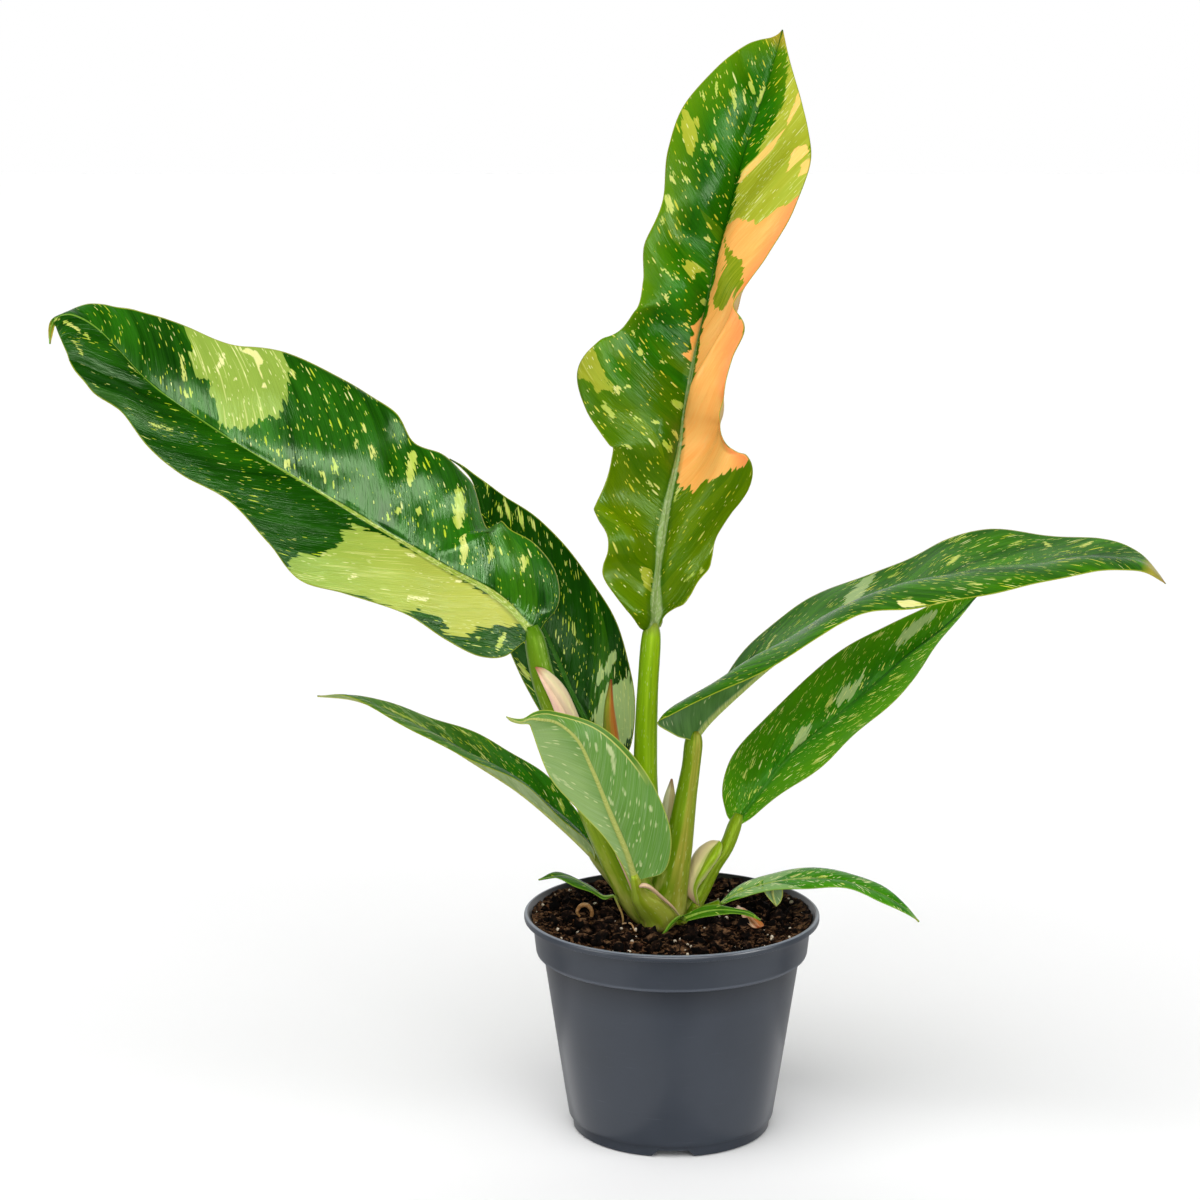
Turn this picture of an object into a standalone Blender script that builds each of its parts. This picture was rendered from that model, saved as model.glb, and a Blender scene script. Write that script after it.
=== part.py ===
"""Potted philodendron in a round nursery pot.

A short crown stands in a pot of soil and carries seven leaves on long stalks, two rolled
new leaves, two bracts and four small low leaves. Tables are in millimetres, from the pot's
centre on the surface that it stands on: +X to the right, +Y to the back, +Z up.
"""
import math

import bmesh
import bpy
import numpy as np
from mathutils import Vector

MM = 0.001                 # the tables' unit, in Blender's metres
GAP = 0.3                  # clearance between pieces that touch
OBJECT_NAME = "potted_philodendron"

# Pot: a moulded nursery pot, 17 cm across its lip
POT_HEIGHT = 127.0
LIP_RADIUS = 85.0
LIP_HEIGHT = 3.8
COLLAR_TOP_RADIUS = 80.2
COLLAR_FOOT_RADIUS = 78.2
COLLAR_FOOT_HEIGHT = 103.6
BODY_TAPER = 0.15          # radius gained per mm of height
BODY_LOW_RADIUS = 59.5
BODY_LOW_HEIGHT = 7.3
FOOT_RADIUS = 57.4
FOOT_WIDTH = 2.4
PAD_RADIUS = 15.0          # the moulding pad in the middle of the base
WALL = 1.6
FLOOR_UNDERSIDE = 4.0
FLOOR_TOP = 6.0
POT_STEPS = 48
NOTCH_COUNT = 4            # drain notches through the foot ring
NOTCH_WIDTH = 26.0
NOTCH_TOP_WIDTH = 17.0
NOTCH_HEIGHT = 3.7
DRAIN_COUNT = 8
DRAIN_RADIUS = 4.0
DRAIN_CIRCLE = 38.0

# Soil
SOIL_LEVEL = 119.8
SOIL_RINGS = 9
SOIL_STEPS = 48

# Leaves and stalks
BLADE = 1.0                # thickness of a leaf
THIN = 0.8                 # of a low leaf or a bract
STALK_SIDES = 4            # a curve's bevel resolution: 12 sides
STALK_STEP = 9.0           # distance between a stalk's rings
SAMPLES = 16               # points worked out between two of a curve's own
BASE_HALF = 3.4            # half the width of a blade where it leaves its stalk
TIP_HALF = 1.0

# Each stalk: points (x, y, z, radius) from inside the crown to the blade. The first
# "rooted" points belong to the crown, and the free stalk starts at the last of them.
STALKS = {
    "left_stalk": dict(rooted=3, points=[
        (-14, -2, 122, 11.5), (-21, -7, 140, 10.9), (-29, -11, 157, 10.3), (-38, -15, 176, 9.4),
        (-47, -18, 197, 8.5), (-56, -20, 222, 7.9), (-65, -22, 247, 7.2), (-73, -23, 269, 6.6),
        (-78, -24, 293, 5.3)]),
    "upright_stalk": dict(rooted=3, points=[
        (-7, 5, 128, 11.5), (-11, 7, 150, 9.4), (-13, 8, 166, 8.2), (-15, 8, 197, 7.1),
        (-15, 8, 226, 6.6), (-14, 7, 256, 6.0), (-12, 6, 289, 5.1)]),
    "right_stalk": dict(rooted=4, points=[
        (-3, 0, 122, 11.5), (-2, -1, 137, 11.2), (0, -3, 152, 10.5), (2, -4, 165, 9.6),
        (4, -5, 180, 8.5), (7, -5, 196, 7.4), (9, -6, 214, 6.0), (12, -6, 229, 5.1)]),
    "lower_right_stalk": dict(rooted=2, points=[
        (8, 7, 122, 7.0), (17, 9, 137, 5.5), (24, 10, 150, 4.6), (32, 12, 162, 4.2),
        (37, 14, 175, 3.9)]),
    "back_stalk": dict(rooted=2, points=[
        (-9, 15, 131, 7.0), (-17, 24, 153, 5.2), (-26, 25, 178, 4.4), (-34, 23, 204, 4.0)]),
    "front_stalk": dict(rooted=3, points=[
        (-8, -12, 122, 9.2), (-13, -18, 136, 8.2), (-17, -25, 146, 5.2), (-19, -30, 153, 4.4)]),
    "low_left_stalk": dict(rooted=2, points=[
        (-16, 7, 126, 8.0), (-30, 10, 139, 5.4), (-37, 8, 147, 4.5), (-42, 6, 153, 4.0)]),
    "new_leaf": dict(rooted=2, points=[
        (-17, 9, 140, 5.4), (-27, 11, 162, 4.6), (-31, 10, 196, 4.8), (-35, 8, 229, 4.4),
        (-36, 6, 246, 2.8), (-35, 5, 262, 0.6)]),
    "small_new_leaf": dict(rooted=2, points=[
        (-4, 12, 150, 4.6), (-2, 15, 167, 4.4), (-2, 14, 178, 4.0), (-1, 13, 191, 2.8),
        (0, 12, 202, 0.6)]),
}

# Stubs of the crown that carry the low leaves, and its buried end
CROWN_CORE = [(-6, 1, 84, 7), (-6, 1, 104, 12), (-5, 1, 124, 15), (-6, 1, 140, 13)]
CROWN_STUBS = {
    "rim_leaf": [(4, 6, 124, 3.5), (18, 5, 126, 2.6), (28, 4, 130, 2.4)],
    "strap_leaf": [(2, -3, 122, 3.5), (11, -9, 126, 2.4)],
    "curled_leaf": [(3, -8, 122, 3.0), (7, -15, 126, 2.0)],
    "front_fold": [(-17, -24, 143, 2.6), (-11, -23, 140, 3.0), (-3, -17, 134, 3.2),
                   (4, -11, 126, 2.4), (6, -7, 120, 1.8)],
}
SHOOT_STALK = [(-29, -15, 108, 1.6), (-29, -15, 121, 1.5), (-32, -13, 133, 1.3)]

# Each leaf: its midrib and its two edges from the stalk to the tip, and how far each half
# bulges towards the upper face, as a share of the half's width. The edges start at the
# stalk's end, so their first points stand a little way up the blade.
LEAVES = {
    "left_leaf": dict(
        rows=26, bulge=(0.06, 0.12),
        rib=[(-97, -27, 315), (-129, -31, 334), (-167, -34, 358), (-205, -37, 382),
             (-244, -39, 406), (-285, -41, 436), (-311, -43, 461), (-326, -48, 467),
             (-337, -52, 457)],
        left=[(-84, -27, 290), (-94, -31, 284), (-109, -38, 285), (-126, -45, 295),
              (-148, -52, 311), (-180, -57, 323), (-204, -60, 331), (-220, -62, 351),
              (-241, -62, 375), (-266, -62, 389), (-284, -62, 404), (-303, -61, 426),
              (-319, -60, 438), (-329, -57, 448)],
        right=[(-73, -18, 300), (-66, -10, 310), (-68, -6, 325), (-79, -8, 342),
               (-95, -14, 357), (-103, -16, 357), (-108, -12, 368), (-122, -14, 387),
               (-138, -20, 398), (-154, -20, 418), (-184, -20, 436), (-213, -24, 451),
               (-240, -26, 455), (-268, -28, 466), (-298, -32, 476), (-317, -37, 479),
               (-332, -45, 475)]),
    "upright_leaf": dict(
        rows=30, bulge=(0.06, 0.06),
        rib=[(-10, 7, 308), (-6, 10, 342), (3, 14, 395), (14, 20, 454), (27, 27, 509),
             (40, 34, 559), (53, 41, 597), (61, 48, 625)],
        left=[(-21, 2, 296), (-35, -2, 317), (-41, -4, 329), (-37, -10, 342), (-46, 2, 359),
              (-38, -2, 375), (-32, -10, 395), (-49, 2, 417), (-54, 6, 437), (-41, 4, 459),
              (-20, 0, 471), (-16, 6, 489), (-17, 12, 507), (-6, 14, 532), (-4, 18, 559),
              (4, 26, 581), (24, 34, 604), (48, 44, 619)],
        right=[(-3, 2, 301), (12, -4, 315), (21, -6, 332), (24, -2, 346), (38, -8, 367),
               (42, -14, 388), (29, -20, 406), (23, -14, 424), (29, -12, 446), (37, -14, 465),
               (36, -8, 484), (49, -4, 504), (66, 2, 528), (76, 12, 554), (70, 26, 587),
               (64, 40, 611)]),
    "right_leaf": dict(
        rows=26, bulge=(-0.05, 0.16),
        rib=[(20, -7, 240), (38, -9, 258), (63, -12, 280), (93, -14, 299), (123, -16, 313),
             (154, -18, 324), (184, -20, 330), (214, -22, 334), (241, -24, 336),
             (260, -25, 333), (272, -26, 323)],
        left=[(17, 14, 235), (25, 28, 248), (40, 32, 271), (63, 34, 292), (91, 34, 310),
              (133, 30, 325), (156, 26, 340), (178, 24, 345), (209, 18, 344), (241, 6, 342),
              (261, -8, 337), (269, -20, 328)],
        right=[(1, -22, 236), (-9, -28, 244), (-1, -34, 250), (23, -42, 265), (49, -52, 279),
               (78, -58, 299), (105, -62, 314), (132, -64, 317), (164, -62, 322),
               (197, -58, 329), (231, -50, 334), (255, -38, 332)]),
    "lower_right_leaf": dict(
        rows=20, bulge=(0.08, 0.06),
        rib=[(52, 16, 194), (68, 20, 213), (93, 24, 234), (115, 28, 252), (135, 33, 269),
             (156, 39, 284), (177, 46, 302), (194, 54, 318)],
        left=[(32, 18, 179), (30, 24, 192), (35, 30, 211), (55, 36, 232), (78, 40, 254),
              (101, 43, 273), (125, 45, 285), (148, 47, 296), (171, 50, 307)],
        right=[(46, 18, 177), (69, 26, 193), (93, 32, 209), (113, 38, 227), (134, 42, 245),
               (152, 46, 269), (172, 50, 295)]),
    "back_leaf": dict(
        rows=20, bulge=(0.06, 0.06),
        rib=[(-42, 26, 219), (-56, 32, 245), (-73, 40, 282), (-91, 48, 315), (-110, 56, 352),
             (-129, 62, 381)],
        left=[(-50, 24, 210), (-67, 26, 225), (-83, 30, 250), (-95, 34, 276), (-107, 42, 307),
              (-117, 50, 338), (-124, 57, 363)],
        right=[(-24, 30, 216), (-21, 36, 243), (-25, 42, 266), (-35, 48, 294), (-56, 54, 324),
               (-76, 58, 347), (-100, 61, 363), (-117, 62, 376)]),
    "front_leaf": dict(
        rows=18, bulge=(0.05, 0.05),
        rib=[(-27, -37, 173), (-37, -46, 200), (-46, -55, 225), (-54, -62, 243),
             (-65, -69, 253), (-79, -76, 257), (-92, -83, 259)],
        left=[(-5, -26, 158), (-1, -28, 177), (-8, -34, 203), (-22, -42, 228),
              (-41, -52, 248), (-62, -62, 258), (-77, -71, 262)],
        right=[(-29, -38, 165), (-39, -46, 183), (-55, -54, 203), (-68, -62, 220),
               (-75, -68, 238), (-82, -77, 251)]),
    "low_left_leaf": dict(
        rows=20, bulge=(0.12, 0.0),
        rib=[(-50, 7, 162), (-64, 9, 175), (-87, 12, 194), (-110, 14, 209), (-133, 16, 223),
             (-156, 18, 236), (-182, 20, 247), (-204, 21, 249)],
        left=[(-45, -4, 164), (-56, -10, 178), (-75, -12, 196), (-98, -12, 212),
              (-123, -10, 223), (-144, -4, 232), (-170, 6, 245), (-190, 15, 250)],
        right=[(-44, 16, 166), (-59, 26, 185), (-76, 32, 202), (-100, 34, 217),
               (-123, 35, 227), (-152, 34, 238), (-180, 28, 247)]),
}

# The low leaves and bracts: the path that carries each one, then the same three lines
LOW_LEAVES = {
    "rim_leaf": dict(
        carrier=CROWN_STUBS["rim_leaf"], rows=14, bulge=(0.1, 0.1), half=2.0,
        rib=[(42, 4, 137), (59, 2, 143), (77, -1, 146), (96, -5, 146), (116, -9, 141),
             (133, -13, 132), (141, -15, 125)],
        left=[(37, 10, 137), (52, 15, 143), (75, 16, 147), (98, 10, 148), (120, 0, 142),
              (134, -10, 133)],
        right=[(39, -3, 135), (59, -8, 142), (78, -13, 144), (101, -17, 144),
               (121, -19, 137), (134, -18, 130)]),
    "strap_leaf": dict(
        carrier=CROWN_STUBS["strap_leaf"], rows=10, bulge=(0.1, 0.1), half=2.0,
        rib=[(19, -13, 129), (30, -16, 133), (42, -18, 132), (50, -21, 127)],
        left=[(16, -8, 130), (28, -9, 133), (39, -13, 134), (47, -18, 130)],
        right=[(16, -16, 126), (27, -21, 126), (37, -23, 129), (45, -24, 129)]),
    "curled_leaf": dict(
        carrier=CROWN_STUBS["curled_leaf"], rows=8, bulge=(0.1, 0.1), half=1.2,
        rib=[(4, -20, 129), (-1, -26, 127), (-5, -31, 123)],
        left=[(4, -18, 127), (-2, -23, 125), (-6, -28, 122)],
        right=[(6, -21, 131), (1, -28, 129), (-4, -32, 124)]),
    "left_shoot_leaf": dict(
        carrier=SHOOT_STALK, rows=12, bulge=(0.1, 0.1), half=1.2,
        rib=[(-40, -7, 138), (-50, 1, 142), (-62, 8, 145), (-77, 12, 142)],
        left=[(-36, -14, 135), (-46, -9, 139), (-56, -2, 142), (-67, 5, 145)],
        right=[(-36, -5, 136), (-46, 5, 141), (-56, 11, 144), (-67, 14, 146)]),
    "left_bract": dict(
        carrier=[(-23, -17, 134, 4.0), (-25, -21, 144, 2.8)], rows=14, bulge=(0.2, 0.3), half=2.2,
        rib=[(-31, -25, 164), (-41, -29, 192), (-52, -32, 224), (-61, -33, 250),
             (-69, -33, 264), (-77, -32, 277)],
        left=[(-35, -27, 164), (-46, -30, 192), (-57, -33, 223), (-66, -34, 251),
              (-73, -34, 267), (-76, -33, 274)],
        right=[(-28, -22, 162), (-35, -24, 188), (-45, -26, 220), (-54, -26, 250),
               (-62, -29, 267), (-72, -31, 276)]),
    "lower_right_bract": dict(
        carrier=[(9, 3, 119, 4.2), (14, 0, 131, 2.4)], rows=10, bulge=(0.3, 0.3), half=2.2,
        rib=[(16, -1, 145), (21, 0, 157), (27, 5, 167)],
        left=[(13, 3, 138), (13, 7, 150), (17, 8, 160), (23, 7, 165)],
        right=[(16, -2, 141), (23, -2, 153), (28, 0, 161), (28, 3, 166)]),
}

# A dry bract that lies on the soil: heights here are above the soil's surface
DRY_BRACT = dict(
    carrier=[(39, 12, 6.6, 1.0), (40, 9, 5.6, 1.0)], rows=8, bulge=(0.2, 0.2), half=2.4,
    rib=[(43, -4, 2.8), (47, -18, 1.0)],
    left=[(38, 3, 4.8), (40, -7, 2.8), (44, -17, 1.0)],
    right=[(43, 5, 4.8), (47, -4, 2.8), (50, -15, 1.2)])

# Colour and roughness of each material
FINISHES = {
    "pot_plastic": ((0.058, 0.065, 0.083), 0.45),
    "peat": ((0.022, 0.012, 0.007), 0.95),
    "leaf_green": ((0.02, 0.13, 0.01), 0.3),
    "leaf_underside": ((0.2, 0.33, 0.11), 0.45),
    "stalk_green": ((0.28, 0.39, 0.02), 0.4),
    "bract_pink": ((0.72, 0.45, 0.35), 0.5),
    "dry_brown": ((0.36, 0.16, 0.06), 0.8),
}


def make_collection(name):
    """A collection of its own under the scene."""
    group = bpy.data.collections.new(name)
    bpy.context.scene.collection.children.link(group)
    return group


def make_material(name, finish):
    """One object's own Principled material."""
    colour, roughness = FINISHES[finish]
    material = bpy.data.materials.new(name)
    material.use_nodes = True
    shader = material.node_tree.nodes["Principled BSDF"]
    shader.inputs["Base Color"].default_value = (*colour, 1.0)
    shader.inputs["Roughness"].default_value = roughness
    shader.inputs["Metallic"].default_value = 0.0
    return material


def add_object(name, data, group, finish=None):
    """Link a new object, with its material if it has one, or as a hidden cutter."""
    piece = bpy.data.objects.new(name, data)
    group.objects.link(piece)
    if finish is None:
        piece.hide_render = True
        piece.display_type = "WIRE"
    else:
        data.materials.append(make_material(name, finish))
    return piece


def smooth_curve(points, samples=SAMPLES):
    """A smooth curve through the points; columns after x, y, z ride along."""
    points = np.array(points, float)
    steps = np.linalg.norm(np.diff(points[:, :3], axis=0), axis=1)
    knots = np.concatenate([[0.0], np.cumsum(np.sqrt(steps))])
    slopes = np.gradient(points, knots, axis=0)
    curve = []
    for i, span in enumerate(np.diff(knots)):
        for t in np.linspace(0.0, 1.0, samples, endpoint=False):
            start = (1 + 2 * t) * (1 - t) ** 2 * points[i] + t * (1 - t) ** 2 * span * slopes[i]
            end = t * t * (3 - 2 * t) * points[i + 1] - t * t * (1 - t) * span * slopes[i + 1]
            curve.append(start + end)
    curve.append(points[-1])
    return np.array(curve)


def along_curve(curve, shares):
    """The curve's points at these shares of its length."""
    steps = np.linalg.norm(np.diff(curve[:, :3], axis=0), axis=1)
    length = np.concatenate([[0.0], np.cumsum(steps)])
    columns = [np.interp(np.array(shares) * length[-1], length, column) for column in curve.T]
    return np.stack(columns, axis=-1)


def curve_length(curve):
    """Length of a curve, mm."""
    return float(np.linalg.norm(np.diff(curve[:, :3], axis=0), axis=1).sum())


def unit(vector):
    """The vector at length 1."""
    return vector / np.linalg.norm(vector)


def evenly(curve):
    """The curve's points, a stalk's ring apart."""
    count = max(3, round(curve_length(curve) / STALK_STEP) + 1)
    return along_curve(curve, np.linspace(0.0, 1.0, count))


def stalk_parts(stalk):
    """A stalk's rooted part, which belongs to the crown, and its free part."""
    curve = smooth_curve(stalk["points"])
    split = (stalk["rooted"] - 1) * SAMPLES
    rooted = evenly(curve[:split + 1])
    free = evenly(curve[split:])
    step = np.append(unit(curve[split + 1, :3] - curve[split - 1, :3]), 0.0)
    rooted = np.insert(rooted, -1, rooted[-1] - step, axis=0)
    free[0] += GAP * step
    free = np.insert(free, 1, free[0] + step, axis=0)
    return rooted, free


def tube(name, path, group, finish=None, grow=0.0):
    """A round solid along (x, y, z, radius) points; grow widens and lengthens it."""
    path = np.array(path, float)
    path[0, :3] -= grow * unit(path[1, :3] - path[0, :3])
    path[-1, :3] += grow * unit(path[-1, :3] - path[-2, :3])
    curve = bpy.data.curves.new(name + "_line", "CURVE")
    curve.dimensions = "3D"
    curve.bevel_depth = MM
    curve.bevel_resolution = STALK_SIDES
    curve.use_fill_caps = True
    spline = curve.splines.new("POLY")
    spline.points.add(len(path) - 1)
    for point, (x, y, z, radius) in zip(spline.points, path):
        point.co = (x * MM, y * MM, z * MM, 1.0)
        point.radius = radius + grow
    line = bpy.data.objects.new(name + "_line", curve)
    bpy.context.scene.collection.objects.link(line)
    evaluated = line.evaluated_get(bpy.context.evaluated_depsgraph_get())
    mesh = bpy.data.meshes.new_from_object(evaluated)
    bpy.data.objects.remove(line)
    mesh.name = name
    welded = bmesh.new()
    welded.from_mesh(mesh)
    bmesh.ops.remove_doubles(welded, verts=welded.verts, dist=0.00001)
    welded.to_mesh(mesh)
    welded.free()
    mesh.shade_smooth()
    return add_object(name, mesh, group, finish)


def add_boolean(piece, tool, operation):
    """Cut the tool out of the piece, or join the two."""
    modifier = piece.modifiers.new(operation.lower() + "_" + tool.name, "BOOLEAN")
    modifier.operation = operation
    modifier.object = tool
    modifier.solver = "EXACT"
    modifier.use_self = True


def turned(name, profile, steps, group, finish):
    """A turned solid: the profile of (radius, height) points runs from the axis round to it."""
    mesh = bpy.data.meshes.new(name)
    points = [(radius * MM, 0.0, height * MM) for radius, height in profile]
    mesh.from_pydata(points, [(i, i + 1) for i in range(len(points) - 1)], [])
    piece = add_object(name, mesh, group, finish)
    screw = piece.modifiers.new("turn", "SCREW")
    screw.steps = steps
    screw.render_steps = steps
    screw.use_merge_vertices = True
    screw.merge_threshold = 0.0001
    screw.use_smooth_shade = True
    return piece


def body_radius(height):
    """Outer radius of the pot's body at a height."""
    return BODY_LOW_RADIUS + BODY_TAPER * (height - BODY_LOW_HEIGHT)


def pot_profile():
    """From the floor's middle up the inner wall, over the lip, down outside and under."""
    step_radius = body_radius(COLLAR_FOOT_HEIGHT - 1.0)
    inside = [
        (0.0, WALL + 0.2), (PAD_RADIUS - 1.9, WALL + 0.2), (PAD_RADIUS - 0.9, FLOOR_TOP),
        (FOOT_RADIUS - 1.8, FLOOR_TOP), (BODY_LOW_RADIUS - WALL, BODY_LOW_HEIGHT + 1.0),
        (step_radius - WALL, COLLAR_FOOT_HEIGHT), (COLLAR_FOOT_RADIUS - WALL, COLLAR_FOOT_HEIGHT + 2.2),
        (COLLAR_TOP_RADIUS - WALL, POT_HEIGHT - 5.5), (COLLAR_TOP_RADIUS - 0.4, POT_HEIGHT - 2.6),
        (LIP_RADIUS - 3.4, POT_HEIGHT - 0.8)]
    lip = [
        (LIP_RADIUS - 2.6, POT_HEIGHT - 0.1), (LIP_RADIUS - 1.4, POT_HEIGHT),
        (LIP_RADIUS - 0.4, POT_HEIGHT - 0.5), (LIP_RADIUS, POT_HEIGHT - 1.4),
        (LIP_RADIUS, POT_HEIGHT - LIP_HEIGHT + 0.7), (LIP_RADIUS - 0.6, POT_HEIGHT - LIP_HEIGHT),
        (COLLAR_TOP_RADIUS + 1.0, POT_HEIGHT - LIP_HEIGHT)]
    outside = [
        (COLLAR_TOP_RADIUS, POT_HEIGHT - LIP_HEIGHT - 1.0),
        (COLLAR_FOOT_RADIUS, COLLAR_FOOT_HEIGHT + 2.0),
        (COLLAR_FOOT_RADIUS - 0.6, COLLAR_FOOT_HEIGHT + 0.5),
        (COLLAR_FOOT_RADIUS - 2.0, COLLAR_FOOT_HEIGHT),
        (step_radius + 0.5, COLLAR_FOOT_HEIGHT - 0.3), (step_radius, COLLAR_FOOT_HEIGHT - 1.0),
        (BODY_LOW_RADIUS, BODY_LOW_HEIGHT), (FOOT_RADIUS + 0.3, BODY_LOW_HEIGHT - 1.0),
        (FOOT_RADIUS, 0.7), (FOOT_RADIUS - 0.7, 0.0)]
    underside = [
        (FOOT_RADIUS - FOOT_WIDTH, 0.0), (FOOT_RADIUS - FOOT_WIDTH - 0.6, FLOOR_UNDERSIDE),
        (PAD_RADIUS + 1.0, FLOOR_UNDERSIDE), (PAD_RADIUS, 0.0), (0.0, 0.0)]
    return inside + lip + outside + underside


def notch_cutter(index, group):
    """A trapezoid block through the foot ring, wider at the ground."""
    angle = 2 * math.pi * index / NOTCH_COUNT - math.pi / 2
    name = f"notch_{index + 1}"
    mesh = bpy.data.meshes.new(name)
    block = bmesh.new()
    bmesh.ops.create_cube(block, size=1.0)
    for vert in block.verts:
        top = vert.co.z > 0
        width = NOTCH_TOP_WIDTH if top else NOTCH_WIDTH
        vert.co.x = (FOOT_RADIUS - FOOT_WIDTH + vert.co.x * 4 * FOOT_WIDTH) * MM
        vert.co.y *= width * MM
        vert.co.z = (NOTCH_HEIGHT if top else -1.0) * MM
    block.to_mesh(mesh)
    block.free()
    cutter = add_object(name, mesh, group)
    cutter.rotation_euler = (0.0, 0.0, angle)
    return cutter


def drain_cutter(index, group):
    """A cylinder through the floor, between the notches."""
    angle = 2 * math.pi * (index + 0.5) / DRAIN_COUNT
    name = f"drain_{index + 1}"
    mesh = bpy.data.meshes.new(name)
    rod = bmesh.new()
    bmesh.ops.create_cone(rod, cap_ends=True, segments=12, radius1=DRAIN_RADIUS * MM,
                          radius2=DRAIN_RADIUS * MM, depth=10 * MM)
    rod.to_mesh(mesh)
    rod.free()
    cutter = add_object(name, mesh, group)
    cutter.location = (DRAIN_CIRCLE * MM * math.cos(angle), DRAIN_CIRCLE * MM * math.sin(angle),
                       FLOOR_TOP * MM)
    return cutter


def build_pot(group, cutters):
    """The pot: a turned shell with drain notches and holes."""
    pot = turned("pot", pot_profile(), POT_STEPS, group, "pot_plastic")
    for index in range(NOTCH_COUNT):
        add_boolean(pot, notch_cutter(index, cutters), "DIFFERENCE")
    for index in range(DRAIN_COUNT):
        add_boolean(pot, drain_cutter(index, cutters), "DIFFERENCE")
    return pot


def soil_height(x, y):
    """Height of the soil's uneven top, level at the pot's wall."""
    edge = COLLAR_TOP_RADIUS - WALL
    fade = 1 - min(1.0, math.hypot(x, y) / edge) ** 4
    waves = math.sin(x / 13 + 0.6) * math.cos(y / 15) + 0.5 * math.sin((x + 2 * y) / 19)
    return SOIL_LEVEL + 1.3 * fade * waves


def settled(piece):
    """The piece with its modifiers turned into mesh."""
    evaluated = piece.evaluated_get(bpy.context.evaluated_depsgraph_get())
    mesh = bpy.data.meshes.new_from_object(evaluated)
    piece.modifiers.clear()
    piece.data = mesh
    return piece


def build_soil(group, sockets):
    """The soil: it fills the pot, with a socket round each thing that stands in it."""
    walls = [(radius - GAP - 0.1, height + 0.1) for radius, height in pot_profile()[3:7]]
    top_radius = COLLAR_TOP_RADIUS - WALL - 0.5
    rings = [(top_radius * ring / SOIL_RINGS, SOIL_LEVEL) for ring in range(SOIL_RINGS + 1)]
    pad = [(PAD_RADIUS - 1.3, FLOOR_TOP + GAP), (PAD_RADIUS - 2.3, WALL + 0.2 + GAP),
           (0.0, WALL + 0.2 + GAP)]
    profile = rings + list(reversed(walls)) + pad
    soil = settled(turned("soil", profile, SOIL_STEPS, group, "peat"))
    for vert in soil.data.vertices:
        if vert.co.z > (SOIL_LEVEL - 0.1) * MM:
            vert.co.z = soil_height(vert.co.x / MM, vert.co.y / MM) * MM
    for socket in sockets:
        add_boolean(soil, socket, "DIFFERENCE")
    return soil


def blade_points(leaf, base, direction):
    """The leaf's three lines, closed at the stalk's end and at the tip."""
    rib = [base, *leaf["rib"]]
    first = np.array(leaf["right"][0], float) - np.array(leaf["left"][0], float)
    last = np.array(leaf["right"][-1], float) - np.array(leaf["left"][-1], float)
    tip = np.array(rib[-1], float)
    tip_direction = unit(tip - np.array(rib[-2], float))
    base_side = unit(first - direction * first.dot(direction)) * leaf.get("half", BASE_HALF)
    tip_side = unit(last - tip_direction * last.dot(tip_direction)) * TIP_HALF
    left = [base - base_side, *leaf["left"], tip - tip_side]
    right = [base + base_side, *leaf["right"], tip + tip_side]
    return rib, left, right


def on_soil(points):
    """Points given above the soil, at their full height."""
    return [(x, y, z + soil_height(x, y), *rest) for x, y, z, *rest in points]


def blade(name, leaf, carrier, groups, finish, thickness=BLADE):
    """A leaf: a grid laid over its midrib and edges, made solid and cut clear of its stalk."""
    group, cutters = groups
    end = carrier[-1, :3]
    direction = unit(end - carrier[-2, :3])
    base = end + 1.5 * GAP * direction
    lines = [smooth_curve(line) for line in blade_points(leaf, base, direction)]
    columns = 8 if leaf["rows"] > 12 else 6
    grid = bmesh.new()
    bmesh.ops.create_grid(grid, x_segments=columns, y_segments=leaf["rows"], size=1.0)
    for vert in grid.verts:
        share = (vert.co.y + 1) / 2
        rib, left, right = (along_curve(line, [share])[0] for line in lines)
        edge, bulge = (right, leaf["bulge"][1]) if vert.co.x > 0 else (left, leaf["bulge"][0])
        across = abs(vert.co.x)
        ahead = along_curve(lines[0], [min(1.0, share + 0.05)])[0]
        behind = along_curve(lines[0], [max(0.0, share - 0.05)])[0]
        face = unit(np.cross(right - left, ahead - behind))
        lift = 4 * across * (1 - across) * bulge * np.linalg.norm(edge - rib)
        vert.co = Vector((rib + (edge - rib) * across + face * lift) * MM)
    mesh = bpy.data.meshes.new(name)
    grid.to_mesh(mesh)
    grid.free()
    mesh.shade_smooth()
    piece = add_object(name, mesh, group, finish)
    solid = piece.modifiers.new("thickness", "SOLIDIFY")
    solid.thickness = thickness * MM
    solid.offset = 0.0
    add_boolean(piece, tube(name + "_clearance", carrier, cutters, grow=GAP), "DIFFERENCE")
    return piece


def root(name, path, crown, cutters, sockets):
    """Join a stub to the crown, and keep its socket for the soil."""
    add_boolean(crown, tube(name + "_stub", path, cutters), "UNION")
    sockets.append(tube(name + "_socket", path, cutters, grow=GAP))


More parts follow.
